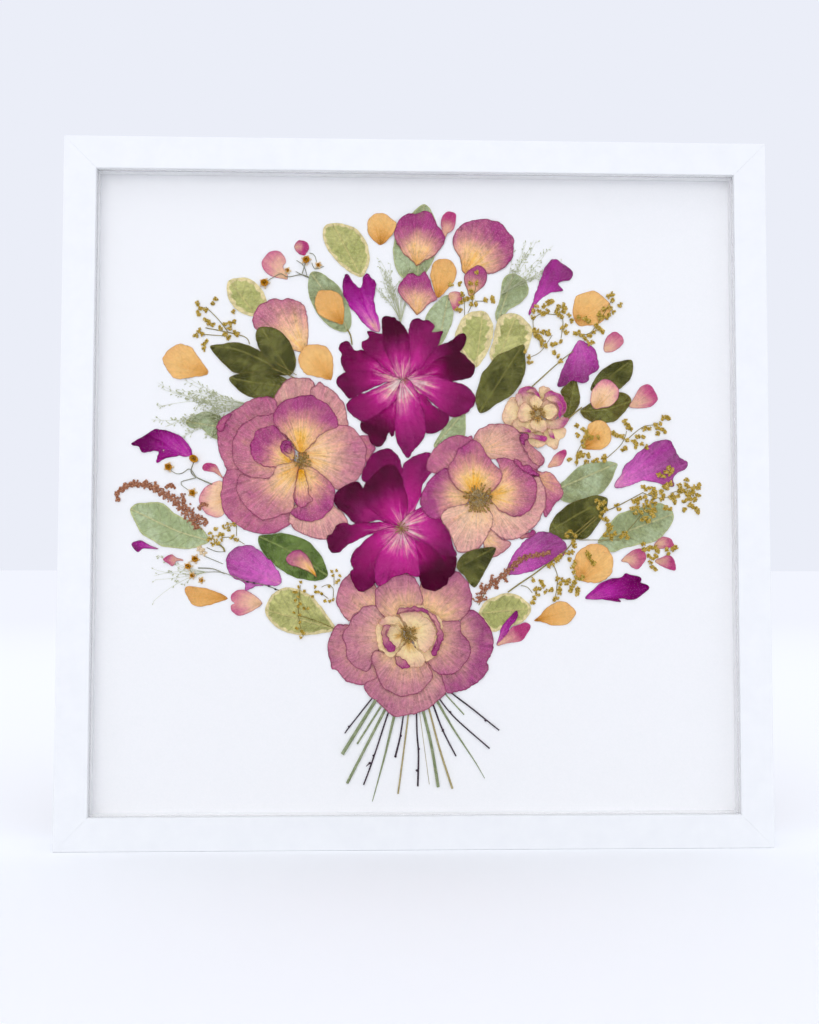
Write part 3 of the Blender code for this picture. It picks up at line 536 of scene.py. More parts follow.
def pressed(name, outline, looks, slot, tint=(0.5, 0.0, 0.0), rib=None, ragged=0.5, wave=0.4,
            thick=0.12, drape=2.4, nodes=(), curl=0.35, pleats=0.0, claw_width=0.0):
    """A pressed petal or leaf. Its outline starts at its claw or stalk, and a leaf has a midrib.
    The tint says how far the claw's colour reaches, how deep the rim is and how pale it all is."""
    seed = chance.uniform(0, 50)
    span = np.ptp(np.array(outline), axis=0).max()
    base = FINE if span > LARGE else COARSE
    loop = smooth(outline, base["points"], True)
    if area(loop) < 0:
        loop = np.roll(loop[::-1], 1, axis=0)
    claw = loop[0].copy()
    if claw_width:
        far = np.linalg.norm(loop - claw, axis=1)
        share = np.clip(1 - far / far.max(), 0, 1) ** 1.5
        loop = loop + outward(loop) * (claw_width * share)[:, None]
        claw = loop[0].copy()
    loop = wander(wander(loop, 6.0, ragged * 1.6, seed), 1.8, ragged, seed + 9)
    loop[0] = claw
    heart = heart_of(loop)
    levels = base["levels"] / base["levels"][0]
    grid = heart + levels[:, None, None] * (loop - heart)[None, :, :]
    flat = grid.reshape(-1, 2)
    rim = np.sqrt(((flat[:, None, :] - loop[None, :, :]) ** 2).sum(-1)).min(axis=1)
    rough = np.array([noise.noise(Vector((x / 7, z / 7, seed))) for x, z in flat])
    crumple = np.array([noise.noise(Vector((x / 2.6, z / 2.6, seed))) for x, z in flat])
    if rib:
        across, far, length = along_rib(flat, rib)
        along = np.clip(far / length, 0, 1)
        relief = 0.22 * (1 - np.exp(-(across / 1.3) ** 2))
        waves = np.sin(2 * pi * (far + VEIN_SLANT * abs(across)) / SIDE_RIBS)
        relief += 0.09 * waves * np.clip(rim / 3, 0, 1)
        grown = np.stack([across, far, np.full(len(flat), seed)], axis=1)
    else:
        axis = heart - claw
        away = flat - claw
        dist = np.linalg.norm(away, axis=1)
        turn = np.arctan2(axis[0] * away[:, 1] - axis[1] * away[:, 0], away @ axis)
        turn[dist < 0.01] = 0
        along = dist / max(dist.max(), 1e-6)
        grown = np.stack([turn, dist, np.full(len(flat), seed)], axis=1)
        relief = wave * along ** 1.5 * (0.5 + 0.5 * np.sin(turn * LOBES + seed))
        relief += pleats * np.sin(turn * PLEATS + seed) * along * np.clip(rim / 2, 0, 1)
    relief = relief + wave * 0.55 * rough + 0.16 * crumple
    relief += curl * np.exp(-(rim / 1.1) ** 2) * (0.5 + 0.5 * np.sin(7 * rough + 3 * along + seed))
    relief = np.clip(relief - np.percentile(relief, 4), 0.0, 1.4)
    tops = np.minimum(under(flat[:, 0], flat[:, 1], drape) + AIR + thick + relief, HEAP_LIMIT)
    grid_top = np.concatenate([grid, tops.reshape(grid.shape[:2] + (1,))], axis=2)
    dense = finer(finer(grid_top, 3, False).transpose(1, 0, 2), 3, True).reshape(-1, 3)
    mark(dense[:, 0], dense[:, 1], dense[:, 2])
    pick = base["ring"] * base["points"] + base["turn"]
    mesh = base["mesh"].copy()
    place = np.stack([flat[pick, 0] * MM, (BOARD_FRONT - tops[pick]) * MM,
                      (BOARD_CENTRE + flat[pick, 1]) * MM], axis=1)
    mesh.vertices.foreach_set("co", place.ravel())
    put(mesh, "grow", grown[pick])
    put(mesh, "place", np.stack([along, rim, across if rib else rim], axis=1)[pick])
    put(mesh, "tint", np.tile(np.array(tint, float), (len(pick), 1)))
    piece = from_mesh(name, mesh)
    wall = piece.modifiers.new("wall", "SOLIDIFY")
    wall.thickness = thick * MM
    wall.offset = -1.0
    apply_all(piece)
    bpy.ops.object.shade_smooth_by_angle(angle=radians(55))
    return keep(piece, name, looks, slot, *nodes)


def put(mesh, name, values):
    """Writes three numbers for each corner of a mesh, which its finish reads by this name."""
    layer = mesh.attributes.new(name, "FLOAT_VECTOR", "POINT")
    layer.data.foreach_set("vector", values.astype(np.float32).ravel())


def cad_outline(name):
    """The outline of a flat CAD piece, read from its front face, as (right, up) from the board's middle."""
    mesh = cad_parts[name].data
    front = min(v.co.y for v in mesh.vertices)
    known, edges = {}, {}

    def same(index):
        """One number for all the corners at one place."""
        co = mesh.vertices[index].co
        return known.setdefault((round(co.x / MM, 2), round(co.z / MM - BOARD_CENTRE, 2)), index)
    for face in mesh.polygons:
        corners = [i for i in face.vertices if abs(mesh.vertices[i].co.y - front) < 1e-5]
        if len(corners) == 3:
            ids = [same(i) for i in face.vertices]
            for a, b in zip(ids, ids[1:] + ids[:1]):
                edges[(a, b)] = edges.get((a, b), 0) + 1
    ahead = {a: b for a, b in edges if (b, a) not in edges}
    first = next(iter(ahead))
    walk = [first]
    while ahead[walk[-1]] != first and len(walk) <= len(ahead):
        walk.append(ahead[walk[-1]])
    places = {index: place for place, index in known.items()}
    return [places[i] for i in walk]


def from_claw(outline, claw):
    """The outline, started at the corner nearest to the claw."""
    far = [(x - claw[0]) ** 2 + (z - claw[1]) ** 2 for x, z in outline]
    first = far.index(min(far))
    return outline[first:] + outline[:first]


SLOTS = {ROSE: "rose_petal", DUSKY: "rose_petal", PEONY: "magenta_petal", MAGENTA: "magenta_petal",
         GOLD: "gold_petal", BLUSH: "gold_petal", CREAM: "cream_petal",
         SAGE: "sage_leaf", PALE: "pale_leaf", DARK: "dark_leaf", GREEN: "dark_leaf"}


def leaf(name, looks, base, tip, via=(), tint=(0.0, 0.0, 0.0), wave=0.7):
    """A leaf with its CAD piece's outline, and a midrib from its base to its tip."""
    outline = from_claw(cad_outline(name), base)
    return pressed(name + "_blade", outline, looks, SLOTS[looks], tint, rib=[base, *via, tip], wave=wave,
                   ragged=0.25, thick=0.22, drape=3.2, nodes=(name,), curl=0.25)


def cad_petal(name, looks, claw, tint, **more):
    """A petal with its CAD piece's outline."""
    outline = from_claw(cad_outline(name), claw)
    return pressed(name + "_sheet", outline, looks, SLOTS[looks], tint, nodes=(name,), **more)


def spots(text):
    """Places in mm, each written as right,up."""
    return [tuple(float(number) for number in pair.split(",")) for pair in text.split()]


def rows(text):
    """Rows parted by semicolons. Each is a few numbers, a slash and a run of places."""
    for row in text.split(";"):
        numbers, places = row.split("/")
        yield [float(number) for number in numbers.split()], spots(places)


# ---------------------------------------------------------------- stalks and small repeated shapes

STEM_DRAPE = 1.0          # mm to each side over which a stalk levels out what is under it


def strands(name, runs, looks, slot, flatten=1.0, step=1.6):
    """Thin stalks in one piece. Each run is its widths in mm at start and end, and its points."""
    curve = bpy.data.curves.new(name, "CURVE")
    curve.dimensions = "3D"
    curve.bevel_depth = MM
    curve.bevel_resolution = 1
    curve.use_fill_caps = True
    for (width, end_width), points in runs:
        length = sum((Vector(b) - Vector(a)).length for a, b in zip(points, points[1:]))
        count = max(4, int(length / step))
        line = smooth(points, count, False)
        radii = np.linspace(width / 2, end_width / 2, count)
        depth = under(line[:, 0], line[:, 1], STEM_DRAPE) + radii * flatten + AIR
        depth = np.minimum(depth, HEAP_LIMIT)
        mark(line[:, 0], line[:, 1], depth + radii * flatten)
        spline = curve.splines.new("POLY")
        spline.points.add(count - 1)
        for point, (x, z), y, radius in zip(spline.points, line, depth, radii):
            point.co = (x * MM, (BOARD_FRONT - y) * MM, (BOARD_CENTRE + z) * MM, 1.0)
            point.radius = radius
    piece = from_mesh(name, curve)
    only(piece)
    bpy.ops.object.convert(target="MESH")
    piece = bpy.context.object
    bpy.ops.object.shade_smooth_by_angle(angle=radians(50))
    return keep(piece, name, looks, slot)


def small(kind, shape_it=None, **size):
    """Models a small shape once, in edit mode, and returns its corners and faces."""
    bpy.ops.object.select_all(action="DESELECT")
    kind(**size)
    piece = bpy.context.object
    bpy.ops.object.mode_set(mode="EDIT")
    bpy.ops.mesh.select_mode(type="FACE")
    bpy.ops.mesh.select_all(action="SELECT")
    if shape_it:
        shape_it()
    bpy.ops.object.mode_set(mode="OBJECT")
    settle(piece)
    corners = np.array([v.co for v in piece.data.vertices])
    faces = [tuple(face.vertices) for face in piece.data.polygons]
    bpy.data.objects.remove(piece)
    return corners, faces


def copies(name, shape, moves):
    """One object out of copies of a small shape, each put in place by a matrix."""
    corners, faces = shape
    verts, polys = [], []
    for k, move in enumerate(moves):
        turned = np.array(move)
        verts.append(corners @ turned[:3, :3].T + turned[:3, 3])
        polys += [tuple(i + k * len(corners) for i in face) for face in faces]
    mesh = bpy.data.meshes.new(name)
    mesh.from_pydata(np.concatenate(verts).tolist(), [], polys)
    return from_mesh(name, mesh)


def scatter(name, shape, places, looks, slot, flat_shaded=False):
    """One piece out of many copies of a small shape. A place is x, z and height over the board in mm,
    size in mm, a turn, a tilt and a stretch."""
    piece = copies(name, shape, [
        Matrix.Translation((x * MM, (BOARD_FRONT - high) * MM, (BOARD_CENTRE + z) * MM))
        @ Matrix.Rotation(turn, 4, "Y") @ Matrix.Rotation(tilt, 4, "X") @ Matrix.Rotation(pi / 2, 4, "X")
        @ Matrix.Diagonal((size * MM * stretch, size * MM, size * MM, 1.0))
        for x, z, high, size, turn, tilt, stretch in places])
    if not flat_shaded:
        piece.data.polygons.foreach_set("use_smooth", [True] * len(piece.data.polygons))
    return keep(piece, name, looks, slot)


def select_faces(wanted):
    """Selects the faces of the mesh being edited for which wanted(number, face) is true."""
    bpy.ops.mesh.select_all(action="DESELECT")
    bpy.ops.object.mode_set(mode="OBJECT")
    for number, face in enumerate(bpy.context.object.data.polygons):
        face.select = wanted(number, face)
    bpy.ops.object.mode_set(mode="EDIT")


def star_shape():
    """A tiny open flower: the top of a ball drawn out into points."""
    select_faces(lambda number, face: face.normal.z > -0.2 and number % 2 == 0)
    bpy.ops.mesh.extrude_faces_move(TRANSFORM_OT_shrink_fatten={"value": 0.45})
    bpy.ops.transform.resize(value=(0.8, 0.8, 0.8))


def cup_shape():
    """A waxflower cup: a dish with a raised ring round its pistil."""
    bpy.ops.mesh.extrude_region_move(TRANSFORM_OT_translate={"value": (0, 0, 0.35)})
    bpy.ops.transform.resize(value=(1.12, 1.12, 1.0))
    bpy.ops.mesh.inset(thickness=0.16)
    bpy.ops.mesh.extrude_region_move(TRANSFORM_OT_translate={"value": (0, 0, -0.18)})
    bpy.ops.mesh.inset(thickness=0.38)
    bpy.ops.mesh.extrude_region_move(TRANSFORM_OT_translate={"value": (0, 0, 0.3)})
    bpy.ops.mesh.inset(thickness=0.2)
    bpy.ops.mesh.poke()


def anther_shape():
    """A stamen: a thin thread that ends in an anther, lying along X from the heart of the flower."""
    select_faces(lambda number, face: face.normal.x > 0.9)
    for step, size in ((0.35, 1.0), (0.3, 1.0), (0.04, 2.6), (0.14, 1.15), (0.1, 0.4)):
        bpy.ops.mesh.extrude_region_move(TRANSFORM_OT_translate={"value": (step, 0, 0)})
        bpy.ops.transform.resize(value=(1.0, size, size))


BALL = small(bpy.ops.mesh.primitive_ico_sphere_add, subdivisions=1, radius=0.5)
STAR = small(bpy.ops.mesh.primitive_ico_sphere_add, star_shape, subdivisions=1, radius=0.36)
CUP = small(bpy.ops.mesh.primitive_circle_add, cup_shape, vertices=14, radius=0.44, fill_type="NGON")
ANTHER = small(bpy.ops.mesh.primitive_cube_add, anther_shape, size=0.05)


def height_at(x, z, drape=0.9):
    """How high the heap is at one place."""
    return float(under(np.array([x]), np.array([z]), drape)[0])


def florets(name, blobs, spread=1.25, size=1.2, each=12):
    """Clusters of tiny flower heads, a cluster at each place."""
    places = []
    for x, z in blobs:
        ground = height_at(x, z)
        for _ in range(each):
            turn = chance.uniform(0, 2 * pi)
            away = spread * chance.uniform(0.1, 1.15)
            high = ground + chance.uniform(0.2, 0.75)
            places.append((x + away * cos(turn), z + away * sin(turn), min(high, HEAP_LIMIT - 0.3),
                           size * chance.uniform(0.7, 1.3), chance.uniform(0, 6.3),
                           chance.uniform(-0.6, 0.6), 1.0))
    return scatter(name, STAR, places, FLORET, "gold_petal", True)


def grains(name, spine, widths, per_mm, looks, size=0.85):
    """A spike of small seeds crowded round a bent stalk, so many to each mm of it."""
    count = 60
    line = smooth(spine, count, False)
    length = np.linalg.norm(np.diff(line, axis=0), axis=1).sum()
    places = []
    for _ in range(int(length * per_mm)):
        share = chance.uniform(0, 1)
        spot = share * (count - 1)
        i = min(int(spot), count - 2)
        x, z = line[i] + (line[i + 1] - line[i]) * (spot - i)
        ahead = line[i + 1] - line[i]
        out = np.array([ahead[1], -ahead[0]]) / np.linalg.norm(ahead)
        wide = np.interp(share, np.linspace(0, 1, len(widths)), widths) / 2
        clump = 0.75 + 0.35 * sin(share * length * 1.7)
        push = chance.uniform(-1, 1) * wide * clump
        x, z = x + out[0] * push, z + out[1] * push
        high = height_at(x, z) + chance.uniform(0.15, 0.75)
        places.append((x, z, min(high, HEAP_LIMIT), size * chance.uniform(0.7, 1.3),
                       chance.uniform(0, 6.3), chance.uniform(-0.8, 0.8), 1.35))
    return scatter(name, BALL, places, looks, "gold_petal", True)


def stamens(name, centre, inner, outer, count):
    """A ring of stamens that fan out from the heart of a flower."""
    places = []
    for k in range(count):
        turn = 2 * pi * k / count + chance.uniform(-0.12, 0.12)
        start = inner * chance.uniform(0.0, 0.6)
        ground = height_at(centre[0] + outer * cos(turn), centre[1] + outer * sin(turn), 2.4)
        places.append((centre[0] + start * cos(turn), centre[1] + start * sin(turn),
                       min(ground + chance.uniform(0.1, 0.6), HEAP_LIMIT - 0.1),
                       outer * chance.uniform(0.7, 1.1), -turn, chance.uniform(-0.5, 0.15) * 0.4, 1.0))
    return scatter(name, ANTHER, places, STAMEN, "gold_petal")


GOLDEN = 2.4              # the golden angle, by which each style is turned from the last


def pistil(name, centre, radius, count):
    """The crowded middle of a flower: a low heap of styles."""
    places = []
    for k in range(count):
        turn = k * GOLDEN
        away = radius * (k / count) ** 0.5
        x, z = centre[0] + away * cos(turn), centre[1] + away * sin(turn)
        high = height_at(x, z) + 0.2 + 0.5 * (1 - k / count)
        places.append((x, z, min(high, HEAP_LIMIT - 0.2), chance.uniform(0.7, 1.1), turn, 0.2, 1.0))
    return scatter(name, BALL, places, PISTIL, "gold_petal")


# ---------------------------------------------------------------- the cut stalks under the bouquet

strands("stalks_green", rows("""
    2.2 2.4 / -24.6,-127 -27,-131 -45,-160;
    1.3 1.2 / -19.5,-128.5 -22,-132 -36,-154;
    1.8 1.8 / -15,-126 -19.5,-134 -42,-177.5;
    2.2 0.5 / -10.5,-128 -13.5,-137 -19,-160 -26.7,-188.5;
    1.9 2.1 / 2.5,-126 4,-134 9,-155 13.2,-180;
    1.9 0.4 / 10,-124 13.5,-130 23,-146 35,-164 41.5,-175;
    0.9 0.9 / 13,-118 17.5,-124 29,-136.5"""), STALK, "sage_leaf", 0.6)
strands("stalks_straw", rows("""
    1 1.1 / -4.5,-128 -5,-136 -8,-160 -11.2,-184;
    1.1 1.3 / 4.5,-126 7.5,-133 14,-157 21.8,-181;
    0.35 0.3 / 1,-128 2,-136 7.8,-178.5"""), STRAW, "sage_leaf")
strands("twigs", rows("""
    1 0.8 / -22,-120 -27.5,-127 -41,-144 -43.5,-147.5;
    1.1 1 / -14.5,-128 -17,-134.5 -26,-162 -32,-178.5;
    0.9 0.4 / -28,-165 -30.5,-167.5;
    0.8 1.2 / -6.5,-130 -8,-137 -10,-150 -13,-162;
    0.9 1.1 / 0,-128 0,-135.5 0.3,-148 1.2,-160 0.8,-179.5;
    1.2 0.9 / 8,-124 10.5,-131.5 16,-146 24,-161.5;
    1 0.5 / 16,-145.6 15.4,-146.6;
    0.9 0.9 / 10,-120 14,-127 24,-139 44.5,-157;
    1.1 0.9 / 16,-118 21.5,-123.5 34,-133 50.3,-146"""), TWIG, "dark_leaf")
scatter("twig_nodes", BALL, [(x, z, 0.9, 1.5, 0.5, 0, 1.2) for x, z in (
    (-12.8, -161.5), (-26, -161), (-28.4, -165.5), (1.3, -157), (16, -145.5), (-41, -143.5), (42, -140),
    (0.2, -170), (-9.6, -149), (20.5, -134.8))], TWIG, "dark_leaf")

# ---------------------------------------------------------------- leaves behind

leaf("leaf_northwest_pale", PALE, (-99, 107.5), (-115, 129), tint=(0.0, 0.05, 0.28))
leaf("leaf_north_pale", PALE, (-34.5, 132.5), (-52, 165.5), tint=(0.0, 0.1, 0.2))
leaf("leaf_north_sage", SAGE, (-43, 98.5), (-65, 134), via=[(-48, 110)], tint=(0.3, 0.2, 0.0))
leaf("leaf_top_sage", SAGE, (0, 130.5), (4.5, 178.5), tint=(0.2, 0.1, 0.05))
leaf("leaf_middle_sage", SAGE, (13, 88.5), (19.5, 121.5), tint=(0.1, 0.05, 0.0))
leaf("leaf_northeast_pale", PALE, (36.5, 76.5), (41, 111.5), tint=(0.0, 0.0, 0.42))
leaf("leaf_northeast_sage", SAGE, (50, 105), (60, 135.3), tint=(0.2, 0.15, 0.05))
leaf("leaf_west_dark_upper", DARK, (-80, 71), (-127, 88.5), via=[(-95, 80), (-112, 87)])
leaf("leaf_west_folded", SAGE, (-115, 38), (-141, 42), tint=(0.4, 0.3, 0.0))
leaf("leaf_west_large", SAGE, (-126.5, -31.3), (-174.6, -11.5),
     via=[(-133, -29), (-146, -25), (-160, -18.5)], tint=(0.0, -0.05, 0.08))
leaf("leaf_southwest_dark", GREEN, (-96.5, -28), (-54.5, -52), via=[(-76, -38)], tint=(0.0, 0.0, 0.0))
leaf("leaf_southwest_pale", PALE, (-49.5, -84.5), (-91.5, -73), tint=(0.15, 0.1, 0.2))
leaf("leaf_centre", SAGE, (10.5, 27), (29.3, 49), tint=(0.1, 0.05, 0.0))
leaf("leaf_east_olive", DARK, (93.5, 44.5), (98, 69.3), tint=(0.3, -0.3, 0.0))
leaf("leaf_east_green", DARK, (108, 62.5), (133.5, 81.8), tint=(0.0, 0.2, 0.0), wave=1.0)
leaf("leaf_east_low_sage", SAGE, (84, 0), (123.9, 17.6), tint=(0.3, 0.15, 0.0))
leaf("leaf_southeast_sage", SAGE, (111.5, -31.5), (158, -14), tint=(0.2, 0.1, 0.05))
leaf("leaf_southeast_pale", PALE, (38, -75), (70, -72), tint=(0.1, 0.05, 0.2))
leaf("leaf_east_pale", PALE, (50, 81), (62, 110), tint=(0.25, 0.0, 0.42))
leaf("leaf_west_dark_lower", DARK, (-78, 64), (-115.3, 69), via=[(-98, 66)])
leaf("leaf_east_long", DARK, (101, 49.5), (133, 56), via=[(117, 51)], tint=(0.5, -0.25, 0.0))
leaf("leaf_east_low_dark", DARK, (81.5, -25), (117.5, -4.4), via=[(98, -15)], tint=(0.0, 0.0, 0.0))


# ---------------------------------------------------------------- grasses

def grass(name, foot, turns, lengths, count, bend, seeds, seed_size=0.75, side=2.6, bare=0.45):
    """A tuft of hair-thin stalks with small seeds on short side stalks, above their bare foot."""
    thread, joints = 0.25, 8
    runs, places = [], []
    for _ in range(count):
        turn = radians(chance.uniform(*turns))
        length = chance.uniform(*lengths)
        curl = chance.uniform(-bend, bend)
        line = []
        for step in range(joints + 1):
            far = length * step / joints
            angle = turn + curl * step / joints
            line.append((foot[0] + far * cos(angle), foot[1] + far * sin(angle)))
        runs.append(((thread, thread * 0.6), line))
        for _ in range(seeds):
            share = chance.uniform(bare, 1.0)
            spot = share * joints
            i = min(int(spot), joints - 1)
            x = line[i][0] + (line[i + 1][0] - line[i][0]) * (spot - i)
            z = line[i][1] + (line[i + 1][1] - line[i][1]) * (spot - i)
            angle = turn + curl * share + chance.choice((-1, 1)) * chance.uniform(0.4, 1.0)
            out = side * chance.uniform(0.4, 1.2)
            end = (x + out * cos(angle), z + out * sin(angle))
            runs.append(((thread * 0.6, thread * 0.5), [(x, z), ((x + end[0]) / 2, (z + end[1]) / 2), end]))
            places.append((end[0], end[1], height_at(*end) + 0.3, seed_size * chance.uniform(0.7, 1.2),
                           -angle, 0.0, 1.9))
    strands(name + "_stalks", runs, GRASS, "pale_leaf", step=3.0)
    scatter(name + "_seeds", BALL, places, GRASS, "pale_leaf")


grass("grass_west", (-98, 52), (166, 205), (26, 66), 26, 0.35, 13)
grass("grass_north", (-10, 104), (74, 116), (22, 42), 26, 0.3, 7, seed_size=0.6, bare=0.5)
grass("grass_northeast", (52, 122), (22, 62), (22, 46), 15, 0.3, 9, seed_size=0.7, bare=0.4)
grass("grass_southwest", (-128, -50), (168, 200), (12, 42), 9, 0.35, 4, seed_size=0.8, side=2.0)

# ---------------------------------------------------------------- loose petals behind the heads

cad_petal("petal_north_large", ROSE, (-0.5, 139.3), (0.9, 1.1, 0.3))
cad_petal("petal_northeast_large", ROSE, (29, 135.5), (0.95, 0.9, 0.4))
cad_petal("petal_northwest_rose", ROSE, (-69.5, 86), (0.75, 0.5, 0.5))
cad_petal("petal_north_forked", MAGENTA, (-23.5, 98), (0.7, 0.35, 0.0), pleats=0.1)
cad_petal("petal_northeast_trumpet", MAGENTA, (69.5, 109.2), (0.15, 0.3, 0.2), pleats=0.1)
cad_petal("petal_east_folded", MAGENTA, (101, 94), (0.2, 0.5, 0.35), pleats=0.1)
cad_petal("petal_west_gold", GOLD, (-128.3, 72), (0.5, 0.0, 0.0))
cad_petal("petal_north_pink", ROSE, (0, 108.8), (0.8, 1.1, 0.3))
cad_petal("petal_west_magenta", MAGENTA, (-138, 20.5), (0.25, 0.75, 0.0), pleats=0.12)
cad_petal("petal_east_magenta", MAGENTA, (122, 3), (0.7, 0.35, 0.45), pleats=0.1)
cad_petal("petal_southwest_magenta", MAGENTA, (-83, -57), (0.5, 0.1, 0.5), pleats=0.1)
cad_petal("petal_southeast_gold", GOLD, (100.5, -55), (0.6, 0.0, 0.0))
cad_petal("petal_west_gold_round", GOLD, (-53, 68), (0.7, 0.0, 0.0))
cad_petal("petal_southeast_magenta", MAGENTA, (56, -50), (0.3, 0.3, 0.4), pleats=0.1)

LOOSE = {"gold": GOLD, "rose": ROSE, "blush": BLUSH, "magenta": MAGENTA}
# A name, a finish and the three numbers of the tint, then the outline from the claw.
for row in """
        petal_gold_north gold 0.8 0.3 0 / 13,119.5 9.5,129 8,133 8.5,136 10,141 14,143.7 19,144 23,141
          24.5,136 23.5,131 20,126.5;
        petal_rose_north rose 0.5 0.9 0.2 / 33,121 31,125 29,132.5 31,136 35,139 38,140.3 42,138
          43.5,134 42.5,129 40,126;
        petal_gold_top gold 1.05 0 0 / -22.5,152.5 -26,154.5 -29.5,158 -31,163 -30,168.5 -26,172
          -20,172.3 -16,169 -13,166 -14.5,161 -18,156;
        petal_pink_top blush 0.6 0.95 0 / 17.5,157.5 15.3,162 15,168 17,172.5 20,174 24.2,172.5 24,167
          22.5,162.5 19,160;
        petal_pink_small_north blush 0.7 0.6 0 / 19.5,121 21,123 26,123.5 28,120 27,116 24.5,113
          22.5,112 20.5,117;
        petal_gold_over_sage gold 0.9 0.35 0 / -46,102.5 -50,104 -56,106 -60,108.5 -62,112 -63,116
          -62,121 -60,123.5 -55,123.7 -49.5,122.5 -46.5,119.5 -45,114 -45,108;
        petal_blush_northwest blush 0.5 0.25 0.1 / -80,130.5 -80,134 -82.5,138 -81,141.5 -82,145
          -84,147.5 -87,148.5 -91,147.5 -94,144.5 -95.9,140 -93,134.5 -89,132 -84,131;
        petal_magenta_northwest blush 0.3 1.2 0 / -76,151 -74,154.5 -71.5,155 -68,153.5 -66.8,150
          -68.5,147 -70,145.5 -73.5,147;
        petal_gold_northeast gold 0.6 0 0 / 98.5,105.5 96.8,111 97.5,117 99,121.5 103,123.5 109,125
          112,124 116,121 119.5,118 121,114 119,110 116,106.5 112,104 106,103.3 101,103;
        petal_pink_east blush 0.3 0.5 0 / 116.5,87 116,90 117,94 119,97.5 123.5,99.5 127.5,96.5 128.3,93
          127,90.5 123,87.5 119,86.5;
        petal_blush_east blush 1.3 0 0.1 / 110.5,51 108.5,52.5 107,56 108,61 110,65 113,68 116.5,69.5
          120,68.5 123,66 125,62.5 124.5,58 122.5,55 119,52.5 113,51.5;
        petal_pink_far_east blush 0.4 0.7 0 / 131.5,52.5 133,56 136,61 138.5,64.5 142,66.5 145,66
          147,63.5 149.5,58.5 148.5,55.5 146,53 142,52 136,51.7;
        petal_gold_east gold 1 0 0 / 102.5,26.5 103,30 105,36 106,41 110,43.5 115,43.5 119,40 120.5,35
          119,30 114,26 108,25.7;
        bud_east blush 0.6 0.9 0 / 80.8,14.8 83,19 84.5,22 89,25 91.5,25.7 92.7,23.5 91,20 89,16.2
          85,15.3;
        petal_blush_west blush 1.5 0 0.3 / -112,-4 -119,-15.5 -125,-15.7 -130,-13 -133,-7 -132,-2
          -128,2.5 -123,5.3 -118.5,5;
        petal_curled_west blush 0.7 1 0 / -118.5,7.2 -121,12.5 -123,15.5 -127.5,16.7 -130,16 -131.3,14
          -130.5,12 -128,11.5 -124.5,11 -121,9;
        petal_magenta_far_west magenta 0.6 0.2 0.1 / -157,-36 -162,-34 -167,-31.2 -170,-31 -173.7,-33
          -170,-37.8 -167,-36 -162,-35.7;
        petal_pink_far_west blush 0.5 0.9 0 / -142,-42.8 -146,-41 -149,-39.3 -152,-40.3 -154.5,-42.5
          -151.5,-44.5 -148.5,-46.2 -146,-43.5;
        petal_gold_southwest gold 0.8 0.5 0 / -115,-66 -119,-63 -125,-60.8 -132,-59.2 -138,-58.5
          -141,-60 -139.5,-65 -136.5,-69.5 -132,-71 -126,-70 -120,-68;
        petal_blush_southwest blush 0.6 0.35 0.1 / -94,-69 -97,-65.5 -101,-62.5 -106,-60.8 -110,-61.3
          -113,-64.5 -112.5,-67.5 -110.5,-69 -113,-70 -112.5,-73.5 -108.5,-76.5 -104,-75.5 -99,-73;
        petal_rose_southwest rose 0.8 0.5 0 / -61,-53 -62.5,-48 -65,-43 -68,-38.5 -72,-36.3 -77,-38
          -79.7,-41 -79,-44 -76,-46 -72,-47 -66,-49.5;
        petal_gold_southeast gold 0.95 0.2 0 / 71.8,-79.5 76,-76 80,-71.5 84,-69 88,-67.8 93,-69
          97.8,-74 96,-77.5 93,-81 88,-82.5 82,-82 77,-80.5;
        bud_southeast_left magenta 0.5 0.4 0.1 / 49,-94.5 50.7,-88 52,-83 56,-78 61,-73.3 62,-76
          60.5,-79.5 57,-84 55,-90;
        bud_southeast_right blush 0.3 1.2 0 / 49,-94.5 57,-93 64,-92 67,-88.5 69.7,-83 67,-80.5 63,-81.5
          58,-83.5 55,-88;
        petal_magenta_southeast_lower magenta 0.5 0.3 0 / 104.5,-66 112,-64.5 120,-64 125.8,-68 118,-67
          111,-65.8;
        petal_magenta_southeast magenta 0.2 0.65 0 / 104.3,-66.3 108,-61 113,-56.5 119,-53.8 126,-53
          128.5,-50.5 132,-51.5 137,-52.5 138.5,-54.5 138,-56.2 142,-57.5 143.3,-59.5 140,-62.5
          135.5,-66 130,-66.8 125.5,-66;
        petal_pink_low_east blush 0.4 0.8 0 / 126,-43 128,-40.5 132,-37 137,-35 140,-36.5 141.3,-41
          139.5,-45 136,-48 132,-46.5 130,-44;
        petal_pink_far_low_east blush 0.4 0.7 0 / 146.5,-33 150,-28.5 153,-28 157,-29.5 159,-33
          157.5,-34.5 152,-35 148,-35.5;
        petal_pink_lowest_east blush 0.4 1 0 / 147,-43 150,-41 154,-39.2 157,-39.8 159,-43 159.8,-48
          157,-48.5 152,-46.5""".split(";"):
    about, outline = row.split("/")
    name, finish, *tint = about.split()
    looks = LOOSE[finish]
    pressed(name, spots(outline), looks, SLOTS[looks], [float(number) for number in tint],
            ragged=0.22, wave=0.35, curl=0.3)

leaf("leaf_west_dark_upright", DARK, (-77.5, 71), (-96, 100.5), tint=(0.0, 0.05, 0.0))
leaf("leaf_east_dark", DARK, (38.5, 48.5), (65.8, 91), tint=(0.0, -0.05, 0.0))


# ---------------------------------------------------------------- flower heads

def head(node, looks, petals, **more):
    """The petals of one head, from the back: a tint and an outline each. Together they stand for its
    CAD piece."""
    for number, (tint, outline) in enumerate(petals, 1):
        pressed(f"{node}_petal_{number:02d}", outline, looks, SLOTS[looks], tint, nodes=(node,), **more)


